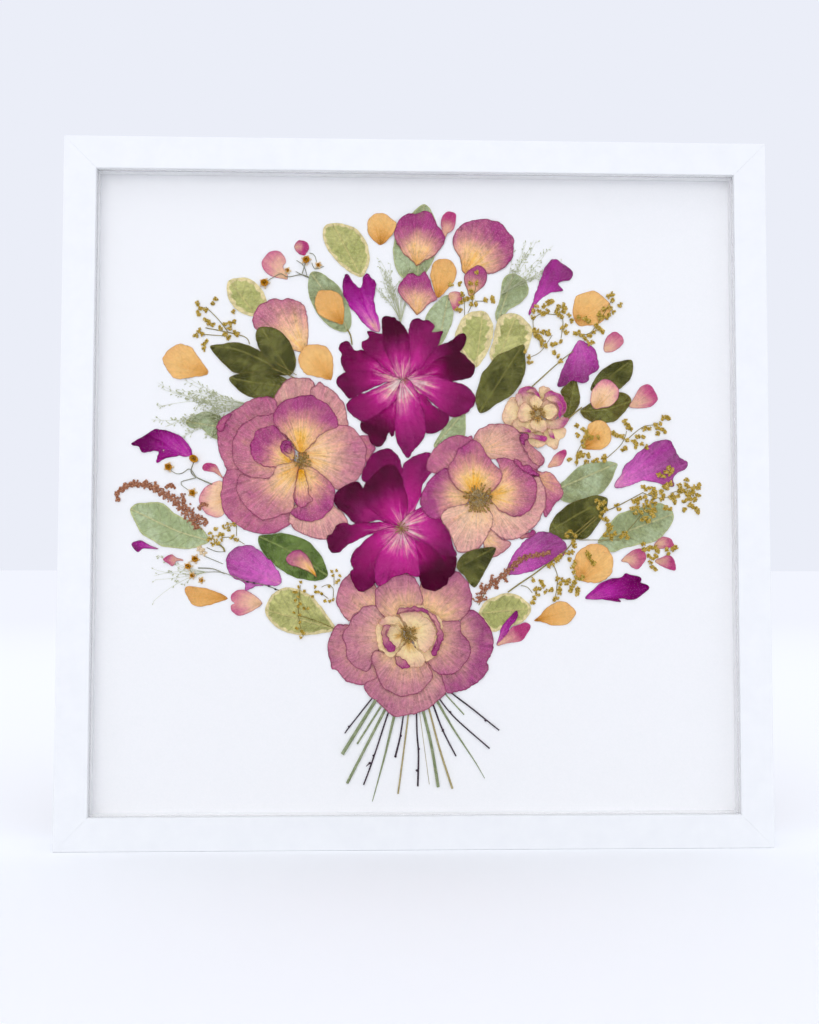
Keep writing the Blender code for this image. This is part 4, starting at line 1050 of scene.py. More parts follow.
head("rose_left", ROSE, rows("""
    0 0.25 0.8 / -72,25 -86,48 -87.5,57 -84,64 -77,69 -70,69.5 -64,67.5 -62,62 -62,45;
    0 0.3 0.7 / -66,25 -66,58 -62,64 -59.5,67.2 -57,65 -50,60 -45,53.5 -43,46 -43.3,39 -50,33;
    -0.25 0.6 0.45 / -80,18 -86,52 -90,57 -97,57.3 -104,54 -109,50.5 -114,47.5 -120,44 -121.8,36
      -121.5,27 -119.5,20 -116.5,13.5 -112,11;
    -0.2 0.65 0.4 / -80,10 -112,12.5 -117,10 -119,3 -119.5,-6 -117.5,-14 -111,-20.5 -104,-24.5 -95,-26.8
      -86,-25.5 -80,-22.5 -77,-20 -78,-16;
    -0.1 0.3 0.85 / -65,0 -78,-16 -77,-21 -72,-25.5 -66,-28 -60,-30 -52,-29.5 -46,-25 -42,-20 -46,-14
      -51,-9;
    0.2 0.5 0.35 / -78,16 -85,45 -92,46 -100,44.5 -107,40 -111,34 -113,28 -112.5,20 -110,14 -105,10
      -98,7 -91,7.5 -87,10 -83,14.5;
    0.75 0.85 0 / -77,16 -80,30 -84,37 -88,39.5 -93,38.5 -98,36 -101,31 -102.3,27 -101,21 -97,17 -91,15
      -84,15;
    1 0.55 0.45 / -71,15 -84,14.5 -88,9.5 -93,7 -103,8.5 -108,10 -110,4 -109.5,-2 -106,-8 -101,-14
      -95,-17.8 -88,-17 -80,-14.5 -76,-12 -75,-5 -72,2;
    0.3 0.3 0.1 / -42,24 -36,33 -30,33.5 -27,30 -25.5,26 -29,21 -31.5,18;
    1 0.55 0.6 / -71,22 -65,29 -60,34 -54,37.5 -47,40 -41,39.5 -37,36.5 -34.5,33 -31,27 -31,20 -33,12
      -36,7 -42,3 -48,0.5 -51,2 -56,7 -63,11.5 -68,14;
    0.75 0.8 0.1 / -71,13 -74,2 -75,-5 -73,-10 -77,-13.5 -75,-15.5 -72,-18 -65,-19 -58,-17 -52,-10.5
      -50,-3 -50.5,1.5 -55,7 -61,11 -66,13.5;
    1.2 0.3 0 / -71,12 -74,-2 -74,-8 -70,-10.5 -66,-7.5 -63.5,-5.5 -66,-2 -68,6;
    0.95 0.8 0.1 / -71,24 -75,29 -80,33.5 -85,38 -88,43 -87.5,48 -84,53 -79,56 -73,57.5 -66,58.8 -60,56
      -54,52 -50,46.5 -48.5,40 -54,37.5 -61,33 -67,27;
    -0.9 0.9 0 / -121,38 -119,43.5 -114.5,47.2 -113,45.6 -116.5,42 -119,37;
    0.6 1 0 / -76,20 -78,21 -82,23 -83.5,27 -81,30.5 -77.5,29 -76,25;
    0 1.2 0 / -78,23.5 -80.5,24 -81.5,26 -79.5,28 -77.5,26.5"""),
     claw_width=1.6)

head("rose_low", DUSKY, rows("""
    0.85 0.4 0.3 / -15,-85 -24,-60 -35,-50 -43,-52.5 -46.5,-57 -49,-65 -48,-71 -45,-76 -41,-80 -36,-75;
    0.6 0.45 0.3 / -20,-90 -42,-82 -50,-83 -53.5,-91 -54,-98 -52.5,-105 -52,-109 -49,-109.5 -44,-115
      -38,-117.5 -31,-118.5 -24,-117 -20,-100;
    0.7 0.6 0.6 / -5,-95 -22,-112 -32,-118.5 -29,-124 -23,-130 -17,-134.5 -12.5,-137.7 -5,-136.5
      3,-134.5 9,-132 14,-127.5 18,-122.5 20,-116 15,-105;
    0.75 0.85 0.4 / 10,-90 26,-80 33,-72.5 39,-76.5 44,-83 46.5,-90 46.5,-98 44,-103 43,-105 43.7,-107.5
      42,-112 37,-117 31,-121 24,-122.8 18.5,-122.5 15,-112;
    1.1 0.55 0.2 / 3,-85 2,-58 10,-50 20,-49 26,-50 31,-56 34,-63 33,-71 29,-77 26,-80 20,-80 12,-82;
    0.35 0.5 0.5 / -12,-88 -20,-72 -25,-70 -32,-70.5 -38,-76 -42,-82 -45.5,-89 -43,-95 -42,-102
      -37,-107.5 -30,-110.3 -27,-106 -24,-98;
    1.05 0.5 0.3 / -5,-85 -19,-77.5 -23,-73.5 -25.5,-67 -25,-60 -21,-56 -15,-52.5 -7,-50.5 -2,-53
      1.5,-58 3.5,-64 3.8,-69.5;
    0.6 0.6 0.3 / 3,-88 14.5,-80 20,-79.5 26.5,-80 27.5,-87 33,-94 32.5,-102 27,-108 20,-112 13,-111.5
      8,-107 4,-101;
    1.1 0.45 0.4 / -5,-90 -15,-99 -25,-98 -27.5,-104 -25,-111 -22,-117 -18,-122 -10,-125 -2,-124 5,-120
      10,-113 8,-107 2,-100"""),
     ragged=0.55, wave=0.5)

head("peony_upper", PEONY, rows("""
    0.7 0.7 0.2 / -10,68 -22,72 -35,73 -44,73.5 -46.8,80 -46,84 -48,87 -47,91 -43,92.8 -40.5,89 -38,86
      -32,86 -25,80 -16,73;
    0.8 0.55 0.35 / -10,70 -18,76 -26,82 -31.5,86 -34.5,91.5 -30,94.5 -30.5,98.5 -25,97 -20,96 -16,88
      -11,78;
    0.7 0.6 0.5 / -6,70 -5,82 -5,95 -4,103 0,106.5 4,105 7,106 11,102 9,98 16,99 14.5,94 10,86 3,77;
    0.85 1.1 0.45 / -9,70 -14,78 -19,88 -21,96 -21.8,104 -20,108.5 -13,106 -8,101 -5.5,94 -5,85 -6,76;
    0.75 0.9 0.4 / -4,69 5,76 10,86.5 20,92.5 28,97.2 30.5,94.5 28,88 22,83 8,74;
    0.65 1.1 0.1 / -5,68.5 5,75 15,82 25,86 31,82.5 36,77 34,71 28,69 18,68 8,69;
    0.6 0.5 0.2 / -5,65 2,60 10,52 20,46 16,38 8,35.5 5,38 2,45 -2,55;
    1.05 0.7 0.7 / -4,68 8,70 20,67 30,65 36,58 35.5,53 30,47.5 22,46 14,52 5,60;
    0.45 0.9 0.1 / -10,65 -16,55 -22,50 -30,46 -34.5,42 -34,37 -30,34.5 -28.5,30 -25,27 -21,28 -18.5,34
      -17,37 -15,33.5 -13,40 -10,52;
    0.95 0.7 0.3 / -11,67.5 -20,68 -33,62 -41,57 -45,61.5 -49.3,67 -46,72 -40,73.5 -28,72 -18,70;
    1.2 0.5 0.4 / -11,66 -20,64 -30,60 -38,58 -43.8,52 -40,47 -34,43 -26,46 -18,53 -12,60;
    1 0.6 0.75 / -8,66 -11,55 -13,42 -13,34 -10,26 -5.5,20.3 -2,25 3,31 5,38 3.5,46 0,55 -4,63"""),
     pleats=0.12, drape=1.8, claw_width=2.6)
stamens("peony_upper_stamens", (-7.5, 67.5), 0.8, 2.6, 10)

head("peony_lower", PEONY, rows("""
    0.35 0.5 0.3 / -12,-5 -20,0 -33,7 -32,15 -28,21 -22,25.5 -17,26 -12,22 -9,14 -8,5;
    0.6 0.5 0.5 / -9,-20 -10,-8 -10,8 -8,15 -4,20 2,22.5 9,23.5 10,14 3,4 1,-3 -2,-10 -6,-17;
    0.5 1 0.5 / -11,-22 -22,-17 -30,-18.5 -38,-19.5 -43,-15 -50,-8.5 -49.5,-1.5 -44,3 -37,5.2 -33,2
      -30,-5 -22,-14;
    0.6 0.9 0.3 / -10,-21 -20,-16 -30,-9 -33,-3 -32,3 -27,9 -20,15 -13,15 -9,5 -7,-6;
    0.7 0.8 0.3 / -12,-24 -22,-21 -32,-20.5 -40,-21 -44,-20 -49,-22 -52,-27 -54.5,-28 -54,-35 -51,-38
      -46,-36.5 -40,-32 -30,-26 -20,-24.5;
    0.3 0.9 0 / 8,-34 12,-38 18,-38 24,-41 23.5,-48 20.5,-53 17,-50 14,-44;
    0.6 1.1 0.1 / -5,-27 3,-31 12,-38 17,-45 19,-55 15,-59.5 10,-61 4,-58.5 1.5,-52 0,-42 -4,-34;
    0.8 0.6 0.35 / -12,-25 -22,-26 -30,-30 -36,-36 -40,-41 -40.5,-44.5 -38.5,-48 -41,-50.5 -39,-57
      -34,-62 -27,-58 -24,-53 -22,-45 -16,-33;
    1.2 0.3 0.8 / -9,-27 -3,-30 0,-40 1.5,-52 -7,-50.5 -15,-53 -23,-59 -26,-52 -25,-44 -20,-36 -14,-30;
    1.2 0.7 0.8 / -8,-22 -2,-14 5,-11 12,-15 17,-20 20,-26 22,-33 24.5,-40 16,-39 8,-33 0,-28"""),
     pleats=0.12, drape=1.8, claw_width=2.6)
stamens("peony_lower_stamens", (-9.5, -23), 1.4, 4.0, 22)

head("cream_rose", CREAM, rows("""
    0.7 0.1 0.2 / 70,47 66,57 61,58.5 58,57.5 55,54 53,48 53.5,43 56,39.5 61,38.5 66,41;
    0.8 0.2 0 / 76,56 75,62 77,65 80,64.8 82.5,63 81,59 78,57;
    0.5 0.9 0 / 71,51 64,55 62.3,60 64,63 68,64.8 72,64.5 75,62 75.8,57 74,53;
    0.4 1 0 / 76,50 77.5,58 80,61.5 83.5,63 88,60.5 91,57 92.6,53 91,48 84,46;
    0.8 0.1 0.1 / 78,42 82,39.5 88,39.5 92.3,38 91,33.5 88,31 86,26 82,28 79,29.5 78,35;
    0.6 0.8 0 / 80,46 86,44.5 91,46 93.8,44.5 92,41 89,38.8 83,38.3 79,41;
    0.8 0.1 0.1 / 73,39 67,38 66,33 68,29 71,27 75,26.8 79,28.8 79.5,34;
    0.2 1.3 0 / 66,36.3 70,36.3 75,34.8 79,33.5 79,31 74,31.5 69,33;
    0.8 0.2 0.1 / 73,46 66,47 60,44 59.5,40 65,37 72,36.5 77,38.5;
    0.3 1.1 0 / 60.5,38.8 65,39.3 69,38.2 70,36.4 65,35.8 61.5,36.8;
    0.2 1.4 0 / 81,38 83,37.5 85.6,33 84.5,32 82,33.5;
    0.2 1.4 0 / 67.3,61 69.5,62.3 73,62 75.4,59 75.6,55.5 74,58 72,60.6;
    0.4 0.5 0.6 / 65,49 61.5,53 60.8,59 63,60 65,57 66.5,53;
    0.9 0.7 0 / 75,47.5 77.5,54 80.5,57.5 84,58.5 88,56 89,51 87.5,46.5 82,43.5;
    0.2 1.4 0 / 79.5,56.8 82,58.6 86,58 89.5,54 89.8,49 88,45 86.6,47 87.3,51 85,54.5;
    1 0.1 0 / 75,48 79,53 83.5,54 86,51 86,47 82,44;
    1.1 0.2 0 / 73,49 69.5,55 71,58.5 74,58.5 77,55 76,51;
    1.1 0.2 0 / 73,48 67,54 64,52.5 62,47.5 63.5,43 68,42.5;
    1.1 0.3 0 / 74,46 69,41.5 71,37.5 76,36 80,38.5 80,43"""),
     ragged=0.6, wave=0.7, curl=0.6)
stamens("cream_rose_stamens", (74, 47.5), 1.8, 4.6, 34)
pistil("cream_rose_heart", (74, 47.5), 1.7, 20)

head("rose_right", ROSE, rows("""
    -0.05 0.6 0.7 / 41,26 37,30 36,33 39,37 44,39.8 50,41 56,40 60,38.5 63,35.5 66,33 70,28 75,23
      77.3,18.5 75,14 71,11 62,18 50,20 44,22;
    -0.5 0.5 0.3 / 75,17 77.3,18.5 75,23 70,28 66.5,33.3 64.3,34.3 63.2,31.5 66,26.5 70.5,21;
    -0.9 1.5 0 / 66.8,33.3 65,34 63.3,32.3 64.5,29 66.5,27 65.3,30.5;
    0.1 0.4 0.1 / 74,9 70,14 75,10.5 80,11 84,9 88,4.5 89.8,0 88.5,-4 86,-6 84,-9 82,-13 79,-16 78,-10
      80,-3 78,5;
    0.4 0.1 0.5 / 42,-28 45,-22 47,-25 50,-29 56,-30.5 58,-33 55,-36.5 50,-39.5 44,-40.5 42,-35;
    0 1.2 0 / 64,-28 70,-25.5 71,-23.5 73,-25.5 69,-28;
    0.3 0.6 0.3 / 36,-2 12,10 6,13 7.5,20 11,26 15,30 20,32.5 26,34.3 31,33.5 35,31;
    0.45 0.3 0.9 / 45,-6 72,9 77,6 80,-2 79.5,-9 76,-17 71,-23 64,-28 57,-30.3 52,-28.5 47,-24 45,-19
      46,-13;
    0.75 1 0.3 / 31,-4 25,3 20,8 19.5,13.8 14,12 9,8 5.5,3 2.5,-2 1.8,-7 4,-12 7.5,-16.5 12,-17 15,-16
      16,-13 20,-10.5 27,-9.5;
    0.75 0.25 0.95 / 37,-9 30,-9.5 22,-10 17.5,-12 15,-16 16,-20 19.5,-24 21.5,-30 23.5,-35 27,-38
      33,-37 38,-35.5 42,-30 45,-22 45.5,-14;
    0.95 0.6 0.2 / 46,-3 48,2 51,14 49,19.5 55,20 61,18.5 65,14 69,11.5 72,8 74,3 73,-5 70,-11 66,-14.5
      61,-15.5 55,-13.5 50,-10;
    -0.9 1.2 0 / 61,18.6 65,14.8 68.5,15.8 70.5,13.3 74.5,11 75.5,9.6 72.5,9.2 68.5,11.2 65,13.2;
    1.05 0.75 0.1 / 35,0 30,0 25,2.5 20.5,7 19.3,11 19.5,14.5 22,18 24,22 25,26 30,29 34,31.5 37.5,30
      41,26 43,22 46,18 49.5,14 52.3,10.5 51,6.5 48.5,3 44,0"""),
     claw_width=1.8)
stamens("rose_right_stamens", (38, -5), 6.0, 7.0, 60)
pistil("rose_right_heart", (38, -4.6), 5.4, 110)
stamens("rose_left_stamens", (-70, 18), 2.4, 5.0, 34)
pistil("rose_left_heart", (-70.5, 18.5), 2.6, 30)

leaf("leaf_south_dark", DARK, (24.3, -47), (48.3, -34.7), tint=(0.0, 0.25, 0.0))

head("rose_low_heart", CREAM, rows("""
    0.9 0 0.1 / -5,-88 -12,-72.5 -4,-70.5 4,-71 11,-74.5 16,-82 15.5,-92 12,-100 6,-104 0,-98;
    0.9 0 0.1 / -7,-90 -13,-100 -20,-99 -24,-93 -25,-85 -22,-79 -14,-79;
    0.9 0.3 0 / -8,-84 -12,-81.5 -20,-83 -24,-80 -18,-77 -10,-76.5;
    1 0.25 0.1 / -4,-86 -10.5,-76 -8,-73 -2,-73.5 4,-76 9.5,-80 11.5,-86 10,-93 6,-98 2,-97 0,-92;
    1 0.3 0.1 / -9,-88 -14,-82.5 -20,-85 -21,-91 -19,-97.5 -12,-95.5;
    1 0.2 0.1 / -5,-92 -12,-98 -13,-102 -6.5,-107.8 3,-106.5 4,-101 0,-95"""),
     ragged=0.95, wave=0.8, curl=0.6)
# The magenta rims of those petals, turned over.
for number, outline in enumerate(map(spots, """
        -12.5,-75.5 -11,-72 -5,-70.9 1,-71 7,-73 10.5,-76.2 8,-77 4,-74.8 -1,-73.6 -7,-73.8;
        7,-73.5 11.5,-76.5 14.5,-81.5 15.6,-88 14.4,-94.5 10.5,-100.5 9.6,-98 11.8,-92.5 12.3,-87 11,-81
          8,-76.8;
        -20.5,-82.5 -16.5,-82 -18.6,-86.5 -16.8,-91 -13,-95.2 -16.5,-97.8 -20.5,-94 -22,-88;
        -12.8,-101 -9.5,-101 -5.5,-104.5 -4,-107.8 -8,-108 -12,-105""".split(";")), 1):
    pressed(f"rose_low_heart_rim_{number}", outline, ROSE, "rose_petal", (-0.3, 1.0, 0.35), ragged=0.9,
            wave=0.4, curl=0.5, nodes=("rose_low_heart",))
stamens("rose_low_stamens", (-5, -87.5), 2.4, 4.8, 44)
pistil("rose_low_styles", (-5, -87.5), 2.4, 30)

# ---------------------------------------------------------------- sprigs over the petals

strands("waxflower_stems", rows("""
    0.6 0.4 / -67,131.5 -75,135.5;
    0.6 0.4 / -67,132 -72,133.5 -80,132 -84,134 -90,131;
    0.5 0.4 / -68,133 -70,139 -74.5,142.5;
    0.5 0.4 / -66.5,147 -63.5,146 -62,141;
    0.5 0.4 / -65,141 -63,137 -57.5,139;
    0.5 0.5 / -71,134 -68.5,142.5;
    0.4 0.4 / -90,131 -94,128;
    0.9 0.5 / -125,3.5 -135,8 -138,11 -137.5,14 -136,18;
    0.6 0.4 / -135,8 -137.5,12 -139.5,13 -143,10.5 -147,10 -151.5,13;
    0.6 0.4 / -135,7.5 -139,6.5 -144,5 -143.5,3 -139.5,0;
    0.6 0.4 / -84,-61 -92,-58 -104,-55.5 -113,-52 -120,-50 -130,-50;
    0.7 0.5 / -133,-47.5 -124,-48 -117,-51;
    0.5 0.4 / -128,-35 -122,-37.5 -117,-37.5;
    0.5 0.4 / -130,-40 -118,-45"""), WIRY, "sage_leaf")
strands("sprig_stems", rows("""
    0.6 0.6 / -130,100 -107,95 -103,90;
    0.5 0.6 / -130,113 -122,105 -116,97;
    0.5 0.5 / -132,96 -118,95;
    0.4 0.4 / 29.5,109 29.5,117;
    0.4 0.4 / 31.5,110.5 34,116 37,129;
    0.4 0.4 / 36,118 42,118;
    0.5 0.4 / 72,106 76,110 84,110 90.5,108 89.5,95;
    0.8 0.5 / 71,64.5 88,80 97,87;
    0.4 0.4 / 70,83 77,87 84,97;
    0.4 0.4 / 72,106 73,98 79,90;
    0.5 0.4 / 102,97 108,99 114,107 121,119;
    1 0.8 / 93.5,45 102,52;
    0.5 0.4 / 118,21 126,28.5 129,34 130,37.5;
    0.5 0.4 / 129,31 140,40 150,41.5;
    0.4 0.4 / 98.5,15.5 98.7,22;
    0.4 0.4 / 103,16 104,19;
    0.4 0.4 / 99,24 104,33;
    0.7 0.5 / 113,-13.5 124,-9 140,-0.5;
    0.5 0.4 / 141,-10 138,-15 129.5,-25;
    0.4 0.4 / 157,-1 160,0 168,2;
    0.5 0.4 / 140,-1 150,-4 158,-3;
    0.9 0.7 / 95,-28 110,-15.5;
    0.7 0.6 / 97,-29 111,-16.5;
    0.5 0.4 / 100,-30 118,-30 125,-30;
    0.9 0.7 / 56,-62 63,-57 72,-51 80,-45 91,-37 98,-29;
    0.5 0.4 / 64,-58 68,-59 71,-62.5;
    0.5 0.4 / 84,-45 86.5,-52 86,-60 85,-65;
    1.1 1.1 / -121,-33 -118,-35 -117,-37.5;
    0.5 0.4 / -119,-29 -112.5,-29 -105,-33;
    0.4 0.4 / -110,-22 -110,-28;
    0.5 0.4 / -50.5,-84 -60,-80 -71,-76.5;
    0.4 0.4 / -58,-63 -54,-66;
    0.4 0.4 / -51,-66 -51,-60 -54,-57.5 -58,-59;
    0.4 0.4 / -50.5,-58 -50.5,-52;
    0.4 0.4 / -71,-58 -72,-76 -69,-89;
    0.9 0.8 / -43,99.5 -41,96 -40,90;
    0.6 0.6 / -89,75 -75,69;
    0.6 0.5 / -86,78 -74,71;
    0.6 0.4 / 38,-70 46,-57 64,-43 82,-38"""),
        OLIVE, "sage_leaf")

grains("amaranth_west", spots("""
    -182,-7 -182.5,-2 -179.5,0.5 -176,3 -171,3.5 -166,3 -161,1.5 -157,-0.5 -152,-3.5 -147,-7 -142,-11
    -137,-16 -134.5,-20 -134,-24"""),
       (2.4, 3.6, 4.2, 4.8, 5.8, 8.2, 9.0, 6.0), 15, GRAIN, 0.95)
for number, spine in enumerate(map(spots, """
        -172.5,3 -172.5,6;
        -165,3 -165,6;
        -159.5,1 -159.5,4.8;
        -153,1 -151,3.2 -147.5,1.3;
        -143,-2 -142,-8;
        -133,-12 -131,-8.5 -127.5,-9.5;
        -133,-16 -128,-19.5 -130,-21""".split(";")), 1):
    grains(f"amaranth_west_spur_{number}", spine, (3.0, 2.8, 2.2), 11, GRAIN)
grains("amaranth_southeast", spots("""
    36,-68 40,-62 46,-57 52,-52.5 58,-47 64,-42 70,-40 78,-38.5 82,-38"""),
       (5.2, 4.2, 4.6, 4.0, 2.8), 10, GRAIN)
for number, spine in enumerate(map(spots, """
        38,-67 43,-66;
        39,-60 40,-56.5;
        46,-56 46,-51.5;
        49,-55 49,-60;
        54,-52 55,-56""".split(";")), 1):
    grains(f"amaranth_southeast_spur_{number}", spine, (2.6, 2.0), 9, GRAIN)

florets("florets_northwest", spots("""
    -124,118 -126,115 -135,115 -133,112 -130,111 -135,109.5 -133.5,108 -130,105 -128,103 -126,102
    -134,98 -132,96 -136,95 -129,92 -131,90 -131,87 -121,100 -118,102 -115.5,103 -115,100 -118,96
    -116,94 -112,97 -110,96 -113,110 -112,104"""))
florets("florets_north", spots("""
    21,128 26.5,128.5 28,122 30,119 27.5,117 26.5,112 25,112 31.5,119 33.5,124 33,129 37,129 37,135.5
    34.5,120 34,116 36.5,116 42.5,118.5 46.5,120 47,118"""))
florets("florets_ring_east", spots("""
    72,108 72,112 74,115 76,112 77.5,110 79,111 81,112 78.5,115 81,118 82,116.5 84,118 88,115 87,113
    86,111.5 88,110 90,108.5 91,115.5 92,114 91,112 94.5,109.5 96,106 92.5,103 90,101 93,98.5 72.5,100
    73,98 75,99.5 74.5,96.5 78,99 76,95 78,93.5 81,99 81.5,97 84,91.5 77,91 80,90 86,91.5 89.5,93 85,86
    87.5,84 88.5,80.5 67,86 69.5,83 70,80"""))
florets("florets_over_gold_east", spots("""
    101,108 104.5,107.5 106.5,106 113,110.5 113.5,107 115,108.5 118,108 119.5,110 120,114 122.5,112
    119.5,121.5 121.5,123 121.5,119 126.5,116 116,113.5 111,103 113,101.5 115,99.5 110,99 101,99 102,97
    98.5,98 107,97 104.5,95 107,92 109,93"""))
florets("florets_east", spots("""
    99,40.5 103,38 99.5,35 105,37 106,34.5 104,33 108,33 112,33.5 102.5,31 103,28 100,23 102.5,22.5
    106,22.5 152.5,46 155,46.5 156,45.5 148,41.5 151,42 141,39 144,39 149.5,39 152,38.5 154,37.5 149,36
    130,42 129,43.5 131,40 132.5,39 121.5,36 123.5,34.5 127,34 130,31.5 134,31 136.5,34 140,33.5 136,30
    139,29.5 142,27.5 135.5,28 129,27 127.5,26 116,21.5 94.5,19.5 99.5,21 101,24 102.5,21.5 98.5,18
    104.5,18.5 106,22 109,19 111.5,19 115,21 116,19"""))
florets("florets_far_east", spots("""
    140,3 142,1 144,2 147,1 148,-1 151,0 152,-3 151.5,-5 145,-1 141,-3 138,-4 136,-5 134,-6 137,-7
    142,-6 145,-6 147,-4 147,-8 146,-11 143,-9 140,-9 136,-10 133,-11 135,-13 138,-13 142,-12 145,-13
    147,-12 141,-16 143,-18 139,-17 146,-15 153.5,-10 156,-11 156.5,-4 158.5,-5 159.5,-7 158,-2.5
    161.5,-3 162.5,0 163.5,1.5 162.5,4 166.5,4 167,7 168,3 170,1 172,3 174,2 175,4 166,0 168,-2 171,-1
    174,-2 167,-5 169,-4 172,-5 165,-6 169,-8 171,-9 173,-11 174.5,-12.5 165.5,-11 150,10.5 152.5,9.5
    154,12 156,14.5 158,13 156.5,11 153,3 155,4 157,5 155,2"""))
florets("florets_over_dark_leaf", spots("""
    111,-6 113,-8 115,-7 112,-10 116,-11 114,-13 113,-16 116,-17 123.5,-8.5 125,-11 94,-25 92,-27.5
    97,-27 96,-31 97,-33.5 117,-18 118,-20.5 120,-22 118,-24 119,-27 122,-26 120,-29 116,-27 126,-28
    128,-26 130,-28 105,-38 106,-40 107,-43 109,-44.5"""))
florets("florets_southeast", spots("""
    93,-38 96,-37.5 94,-41.5 97,-44 96,-47 97,-50 98,-53 100,-54 97,-56 95.5,-59 94.5,-61 102,-53
    99,-60.5 98.5,-63 76,-56 77.5,-58 75,-60 73,-60 74,-63.5 72,-65.5 71,-68 71.5,-54.5 79,-61.5
    82.5,-60.5 86.5,-54 88.5,-57 87.5,-60 87.5,-63 90,-54.5 92,-56 93.5,-55 84,-67 85.5,-66 86,-42.5
    88,-40 83,-45 81,-46 140,-33 140,-36 143,-35 145,-34.5 147,-35 148.5,-37 143,-39.5 145,-41 147.5,-40
    144,-43.5 145.5,-46.5 147,-48 154,-36 155,-38 158,-35.5 159.5,-34.5"""))
florets("florets_west", spots("""
    -126,-26 -125,-29 -122.5,-24 -121,-27.5 -119,-27 -119,-30 -123,-31 -121,-33 -127,-30 -124,-33
    -115,-20.5 -117.5,-22.5 -114.5,-23.5 -112,-21.5 -112.5,-28.5 -110,-29.5"""), each=7)
florets("florets_southwest", spots("""
    -71,-56 -72,-59 -73,-62 -72,-65 -74,-67 -71,-69 -69,-72 -66,-72 -72,-71 -74.5,-74.5 -71,-76
    -71,-80.5 -73,-84 -70,-86 -68.5,-87 -70.5,-89.5 -74.5,-62 -68.5,-61.5 -62,-59 -61.5,-62 -63.5,-64.5
    -60,-62 -58,-63 -56,-67.5 -53,-67.5 -51,-66.5 -53.5,-58.5 -52,-49.5 -51,-52 -49,-49 -47,-52
    -47.5,-55 -49,-56"""), size=0.85, spread=0.75)

# Waxflower cups, each with its width; the largest is full on and hides its sepals.
FULL = 5.8
CUPS = ((-68.5, 142.5, 4.6), (-94, 128, 5.0), (-80, 136, 2.6), (-61, 139.5, 2.8), (-136, 19, FULL),
        (-151.5, 14, 4.6), (-137, -1.5, 4.2), (-135, -42, 4.2), (-139, -46.5, 3.8), (-136.5, -52, 3.0),
        (-131, -55, 2.6))
scatter("waxflower_cups", CUP, [(x, z, min(height_at(x, z) + 0.3, 4.2), size, chance.uniform(0, 6),
                                 chance.uniform(-0.2, 0.2), chance.uniform(0.8, 1.0))
                                for x, z, size in CUPS], AMBER, "gold_petal")
scatter("waxflower_sepals", BALL, [
    (x + 0.5 * size * cos(turn), z + 0.5 * size * sin(turn), height_at(x, z) + 0.25, 1.7, -turn, 0.0, 1.5)
    for x, z, size in (*CUPS, (-132, -36, 2.5), (-130, -38, 3.0)) if size != FULL
    for turn in [k * 1.25 + chance.uniform(-0.2, 0.2) for k in range(5)]], SEPAL, "cream_petal")
scatter("dark_seeds", BALL, [(x, z, height_at(x, z) + 0.4, 1.3, 0.4, 0.0, 1.4) for x, z in (
    (-90, -58.5), (-86, -60.3), (-103, -55.8), (-99, -56.6))], TWIG, "dark_leaf")


# ---------------------------------------------------------------- frame

HALF = 215.0              # half of the frame's outer width
MITRE_CLOSE = (HALF - 0.012) / (HALF - 0.3)   # closes the CAD's gaps at the mitres


def painted_rail(node, along):
    """A rail as painted wood: its long edges are slightly rounded by sanding and paint."""
    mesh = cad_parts[node].data.copy()
    piece = from_mesh(node + "_wood", mesh)
    only(piece)
    bpy.ops.object.mode_set(mode="EDIT")
    bpy.ops.mesh.select_all(action="SELECT")
    bpy.ops.mesh.remove_doubles(threshold=0.01 * MM)
    bpy.ops.mesh.dissolve_limited(angle_limit=radians(1))
    bpy.ops.mesh.select_mode(type="EDGE")
    bpy.ops.mesh.select_all(action="DESELECT")
    bpy.ops.object.mode_set(mode="OBJECT")
    for edge in piece.data.edges:
        a, b = (piece.data.vertices[i].co for i in edge.vertices)
        edge.select = abs((a - b).normalized()[along]) > 0.999
    bpy.ops.object.mode_set(mode="EDIT")
    bpy.ops.mesh.bevel(offset=0.7 * MM, segments=3, clamp_overlap=True)
    # The mitres are glued and painted over, so they are closed up to a hair.
    bpy.ops.mesh.select_all(action="SELECT")
    stretch = [1.0, 1.0, 1.0]
    stretch[along] = MITRE_CLOSE
    bpy.ops.transform.resize(value=stretch, center_override=(0, 0, BOARD_CENTRE * MM))
    bpy.ops.object.mode_set(mode="OBJECT")
    only(piece)
    bpy.ops.object.shade_smooth_by_angle(angle=radians(40))
    # The flat faces stay flat; only the rounded edges are shaded as round.
    even = piece.modifiers.new("even", "WEIGHTED_NORMAL")
    even.keep_sharp = True
    apply_all(piece)
    return keep(piece, node + "_wood", PAINT, "white_paint", node)


for node, along in (("rail_bottom", 0), ("rail_left", 2), ("rail_top", 0), ("rail_right", 2)):
    painted_rail(node, along)

for node, looks in (("art_board", BOARD), ("backing_board", HARDBOARD), ("sawtooth_hanger", STEEL),
                    ("bumper_left", RUBBER), ("bumper_right", RUBBER)):
    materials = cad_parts[node].data.materials
    materials.clear()
    materials.append(looks)

LIP_BACK = -11.0          # depth of the back of the rails' lip
GLASS_BACK = -8.7
PANE = 390.8              # the pane, which the lip just covers


